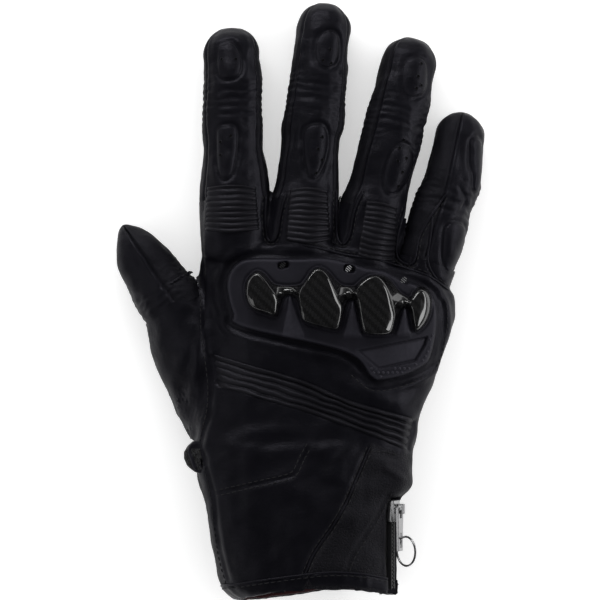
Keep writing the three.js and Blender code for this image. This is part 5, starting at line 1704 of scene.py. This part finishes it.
def bandPiece(name, angles, edges, faces, finish, body, node=None, tip=0.0, soft=0.0, root=0.0, rise=None,
              rounding=0.42, crown=0.0):
    (low, high), (inner, outer) = edges, faces
    middle, half = (low + high) / 2, (high - low) / 2
    turns = np.linspace(0, 2 * math.pi, 41)[:-1]
    gone = goneAlong(handSpot(middle, angles))
    left = gone[-1] - gone
    narrow = half * (1 - np.clip(1 - left / max(tip, 1e-6), 0, 1) ** 2.6 * (0.75 if tip else 0))
    narrow = narrow - root * (1 - smoothStep(5, 15, gone))
    rows = middle + powered(np.cos(turns), 0.3)[:, None] * narrow
    ends = smoothStep(0, 0.8, np.minimum(left, gone)) * 0.25 + 0.75
    grow = (inner + outer) / 2 + powered(np.sin(turns), rounding)[:, None] * ((outer - inner) / 2)
    grow = (inner + outer) / 2 + (grow - (inner + outer) / 2) * ends
    # near its sewn end the band stands up in its middle and lies down at its edges
    apart = np.abs(rows - wristMiddle) / ((strap["high"] - strap["low"]) / 2)
    grow = grow - crown * (grow - 0.3) * np.clip(apart / 0.8, 0, 1) ** 2.4 * (1 - smoothStep(8, 18, gone))
    if rise is not None:  # the band comes out of the skin
        opened = (outer - rise) * smoothStep(0, gone[-1] * 0.9, gone)
        grow = np.minimum(grow, rise + (grow - inner) * 0.25 + opened)
    if soft:
        flat = np.stack(np.broadcast_arrays(rows, gone[None], 0 * rows), -1).reshape(-1, 3)
        grow = grow + soft * ripple(flat, 9).reshape(grow.shape)
    grid = handSpot(rows, angles[None, :], grow)
    count, long = len(turns), len(angles)
    points = np.vstack([grid.reshape(-1, 3), grid[:, 0].mean(0), grid[:, -1].mean(0)])
    turn, step = np.arange(count)[:, None], np.arange(long - 1)
    a, b = (turn * long + step).ravel(), ((turn + 1) % count * long + step).ravel()
    first = np.arange(count) * long
    fan = np.column_stack([first, np.roll(first, -1), np.full(count, len(points) - 2)])
    fans = [fan[:, ::-1], fan + [long - 1, long - 1, 1]]
    worn = np.concatenate([np.repeat(0.6 * bell(np.abs(np.cos(turns)) - 1, 0.25), long), [0.2, 0.2]])
    strip = np.column_stack([a, a + 1, b + 1, b])
    return makePiece(name, points, [strip, np.vstack(fans)], finish, body, worn, node)


fuzzLooks = {
    "loopFuzz": {"pale": (0.02, 0.02, 0.022), "curl": 1.9, "jitter": 1.0, "depth": 0.0005},
    "hookTape": {"pale": (0.014, 0.014, 0.016), "curl": 1.1, "jitter": 0.12, "depth": 0.0003},
}
for name, look in fuzzLooks.items():
    paint, where = fresh(name)
    curls = paint.cells(where, look["curl"], "F1", look["jitter"])
    fuzz = paint.noise(where, 3.2, 5.0, 0.7)
    amount = (fuzz * 1.1 - 0.3 * curls + 2.4 * (paint.noise(where, 0.8, 2.0) - 0.5)).held()
    paint.finish({"Base Color": paint.mixColour(amount, (0.001, 0.001, 0.0013), look["pale"]),
                  "Roughness": (0.75 + 0.25 * fuzz).held(),
                  "Normal": paint.bump(fuzz * 0.6 + curls, 0.9, look["depth"])},
                 {"Specular IOR Level": 0.1, "Sheen Weight": 0.12, "Sheen Roughness": 0.5})

strapAngles = np.linspace(sideAngle(25.0), underAngle(24.0), 150)
anchorAngles = np.linspace(sideAngle(34), sideAngle(26.4), 60)
bands = {  # each with its low and high edges along the hand, and its inner and outer faces over the skin
    "wrist_strap_leather": {
        "angles": strapAngles, "edges": (strap["low"], strap["high"]), "faces": (2.9, strap["outer"]),
        "finish": "leather", "body": "strap", "node": "wrist_strap", "tip": 7.0, "soft": 0.1, "root": 2.1,
        "rounding": 0.6, "crown": 0.8},
    "strap_hook_face": {
        "angles": np.linspace(underAngle(-16), underAngle(21), 60), "edges": (-73.5, -60.5),
        "faces": (1.7, 2.85), "finish": "hookTape", "body": "strap", "node": "strap_hook_patch", "tip": 3.0},
    "strap_loop_face": {
        "angles": np.linspace(underAngle(-24), underAngle(36), 90), "edges": (-74.5, -59.5),
        "faces": (0.1, 1.35), "finish": "loopFuzz", "body": "hand", "node": "strap_loop_patch", "tip": 3.0,
        "soft": 0.08},
    "strap_anchor_leather": {
        "angles": anchorAngles, "edges": (strap["low"] + 1.8, strap["high"] - 1.8), "faces": (-0.8, 4.9),
        "finish": "leather", "body": "hand", "node": "strap_anchor", "soft": 0.12, "rise": -0.5,
        "rounding": 0.8, "crown": 0.75},
    "strap_tab_fuzz": {
        "angles": np.linspace(sideAngle(24.4), sideAngle(15), 30),
        "edges": (strap["low"] + 3.4, strap["high"] - 3.4),
        "faces": (strap["outer"] - 0.25, strap["outer"] + 0.35), "finish": "loopFuzz", "body": "strap",
        "tip": 3.0, "crown": 0.8},
    "strap_end_fuzz": {
        "angles": anchorAngles, "edges": (strap["low"] + 3.0, strap["high"] - 4.6), "faces": (-0.5, 5.25),
        "finish": "loopFuzz", "body": "hand", "soft": 0.3, "rise": -0.5, "rounding": 0.8, "crown": 0.75},
}
bandPieces = {name: bandPiece(name, **band) for name, band in bands.items()}
tabTree = treeOf([bandPieces["strap_anchor_leather"], bandPieces["wrist_strap_leather"]])
tabFold = ((199.5, 443), (194.5, 442.5), (191, 446), (190.5, 452), (193, 457), (194.5, 463), (198, 469))
place, normal = laidOn(spline(onPlan(*tabFold), 0.5), tree=tabTree)
place, normal = (evened(values[:, None], 3)[:, 0] for values in (place, normal))
welt("strap_end_fold", place, unit(normal), 1.1, "hand", sink=0.5)
strapGone = goneAlong(handSpot(wristMiddle, strapAngles))
strapFrom = strapAngles[np.searchsorted(strapGone, 19)]  # past the part that stands up
for n, level in enumerate((strap["low"] + 1.5, strap["high"] - 1.5)):
    angles = np.linspace(strapFrom, underAngle(19), 160)
    stitchRow(f"strap_stitches_{n}", handSpot(level, angles, strap["outer"] + 0.1), outwardAt(level, angles),
              *stitchSize["strap"], "strap")

palmPatch = {
    "outline": ((-31, -28), (-35, -10), (-33, 6), (-22, 14), (0, 16.5), (22, 15), (40, 8), (50, -4),
                (51, -24), (44, -42), (24, -50), (8, -46), (-6, -36)),
    "thick": 1.5, "floor": 0.62, "rings": 40, "stitches": (1.7, 3.9),  # how far in each row lies
}
patchOutline = spline(palmPatch["outline"], 1.2, True)
patchPiece = padPiece("palm_patch_leather", patchOutline, palmPatch["thick"], "palmLeather", "palm_patch",
                      palmPatch["rings"], below=True, floor=palmPatch["floor"])
patchTree = treeOf([patchPiece])
ring = spline(palmPatch["outline"], 1.0, True)
way = unit(np.roll(ring, -1, 0) - np.roll(ring, 1, 0))
side = np.column_stack([way[:, 1], -way[:, 0]])
side *= np.sign(((patchOutline.mean(0) - ring) * side).sum(1))[:, None]
for n, inset in enumerate(palmPatch["stitches"]):
    place, normal = laidOn(ring + inset * side, True, patchTree)
    stitchRow(f"palm_patch_stitches_{n}", place, normal, *stitchSize["patch"], "hand")
print("cuff and palm side made")


# Zip
steelLook = {"dark": (0.42, 0.42, 0.43), "pale": (0.62, 0.62, 0.63), "grime": (0.12, 0.12, 0.125)}
paint, where = fresh("polishedSteel")
smear = paint.noise(where, 0.7, 4.0, 0.6)
scratch = paint.noise(paint.stretched(where, (9.0, 0.7, 9.0)), 1.3, 3.0, 0.7)
colour = paint.mixColour(smear, steelLook["dark"], steelLook["pale"])
worn = (paint.noise(where, 2.1, 5.0, 0.7) * 3.0 - 1.9).held()
paint.finish({"Base Color": paint.mixColour(worn * 0.6, colour, steelLook["grime"]),
              "Roughness": (0.16 + 0.16 * scratch + 0.1 * worn).held(), "Metallic": (1 - 0.25 * worn).held(),
              "Normal": paint.bump(scratch, 0.12, 0.00004)}, {})
zipFabric = {"dark": (0.004, 0.004, 0.005), "pale": (0.016, 0.016, 0.018), "weave": 2.2}
paint, where = fresh("zipFabric")
weave = paint.bands(where, zipFabric["weave"], "Y", 0.8, 1.0)
ribs = paint.bands(where, zipFabric["weave"] * 1.1, "Z", 0.5)
woven = weave * 0.5 + ribs * 0.5
amount = (woven * 0.8 + 0.2 * paint.noise(where, 1.0)).held()
paint.finish({"Base Color": paint.mixColour(amount, zipFabric["dark"], zipFabric["pale"]),
              "Roughness": (0.8 - 0.1 * woven).held(), "Normal": paint.bump(woven, 0.7, 0.00015)},
             {"Specular IOR Level": 0.25, "Sheen Weight": 0.2})
teethLook = {"dark": (0.004, 0.004, 0.005), "rubbed": (0.02, 0.02, 0.022)}
paint, where = fresh("zipTeeth")
rubbed = (paint.noise(where, 1.8, 4.0, 0.65) * 2.2 - 0.8).held()
paint.finish({"Base Color": paint.mixColour(rubbed, teethLook["dark"], teethLook["rubbed"]),
              "Roughness": (0.4 + 0.25 * rubbed).held(), "Normal": paint.bump(rubbed, 0.1, 0.00003)},
             {"Specular IOR Level": 0.3})


def dressed(name, node, body, finish, bevel, rounds):  # a node's own shape, with softened edges
    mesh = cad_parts[node].data
    spots = np.array([v.co for v in mesh.vertices]) * 1000 - planShift
    mine = bmesh.new()
    made = [mine.verts.new(spot) for spot in spots]
    for face in mesh.polygons:
        corners = [made[v] for v in face.vertices]
        if len(set(corners)) > 2 and not mine.faces.get(corners):
            mine.faces.new(corners)
    bmesh.ops.remove_doubles(mine, verts=mine.verts, dist=0.002)
    bmesh.ops.dissolve_limit(mine, angle_limit=math.radians(3), verts=mine.verts, edges=mine.edges)
    sharp = [e for e in mine.edges if len(e.link_faces) == 2 and e.calc_face_angle(0) > math.radians(24)]
    bmesh.ops.bevel(mine, geom=sharp, offset=bevel, segments=rounds, profile=0.6, affect="EDGES",
                    clamp_overlap=True)
    bmesh.ops.triangulate(mine, faces=[f for f in mine.faces if len(f.verts) > 4])
    mine.normal_update()
    mine.verts.index_update()
    points = np.array([v.co for v in mine.verts])
    groups = [[[v.index for v in f.verts] for f in mine.faces if len(f.verts) == sides] for sides in (4, 3)]
    mine.free()
    piece = makePiece(name, points, groups, finish, body, np.full(len(points), 0.3), node)
    piece.data.set_sharp_from_angle(angle=math.radians(40))


zipParts = {  # node, body, finish, bevel and its rounds
    "zip_tape_weave": ("zip_tape", "hand", "zipFabric", 0.25, 2),
    "zip_teeth_back_row": ("zip_teeth_back", "hand", "zipTeeth", 0.1, 2),
    "zip_teeth_palm_row": ("zip_teeth_palm", "hand", "zipTeeth", 0.1, 2),
    "zip_slider_body": ("zip_slider", "slider", "polishedSteel", 0.28, 4),
    "zip_pull_body": ("zip_pull", "pull", "polishedSteel", 0.22, 4),
    "zip_ring_wire": ("zip_ring", "ring", "polishedSteel", 0.02, 1),
}
for name, part in zipParts.items():
    dressed(name, *part)
print("zip made")
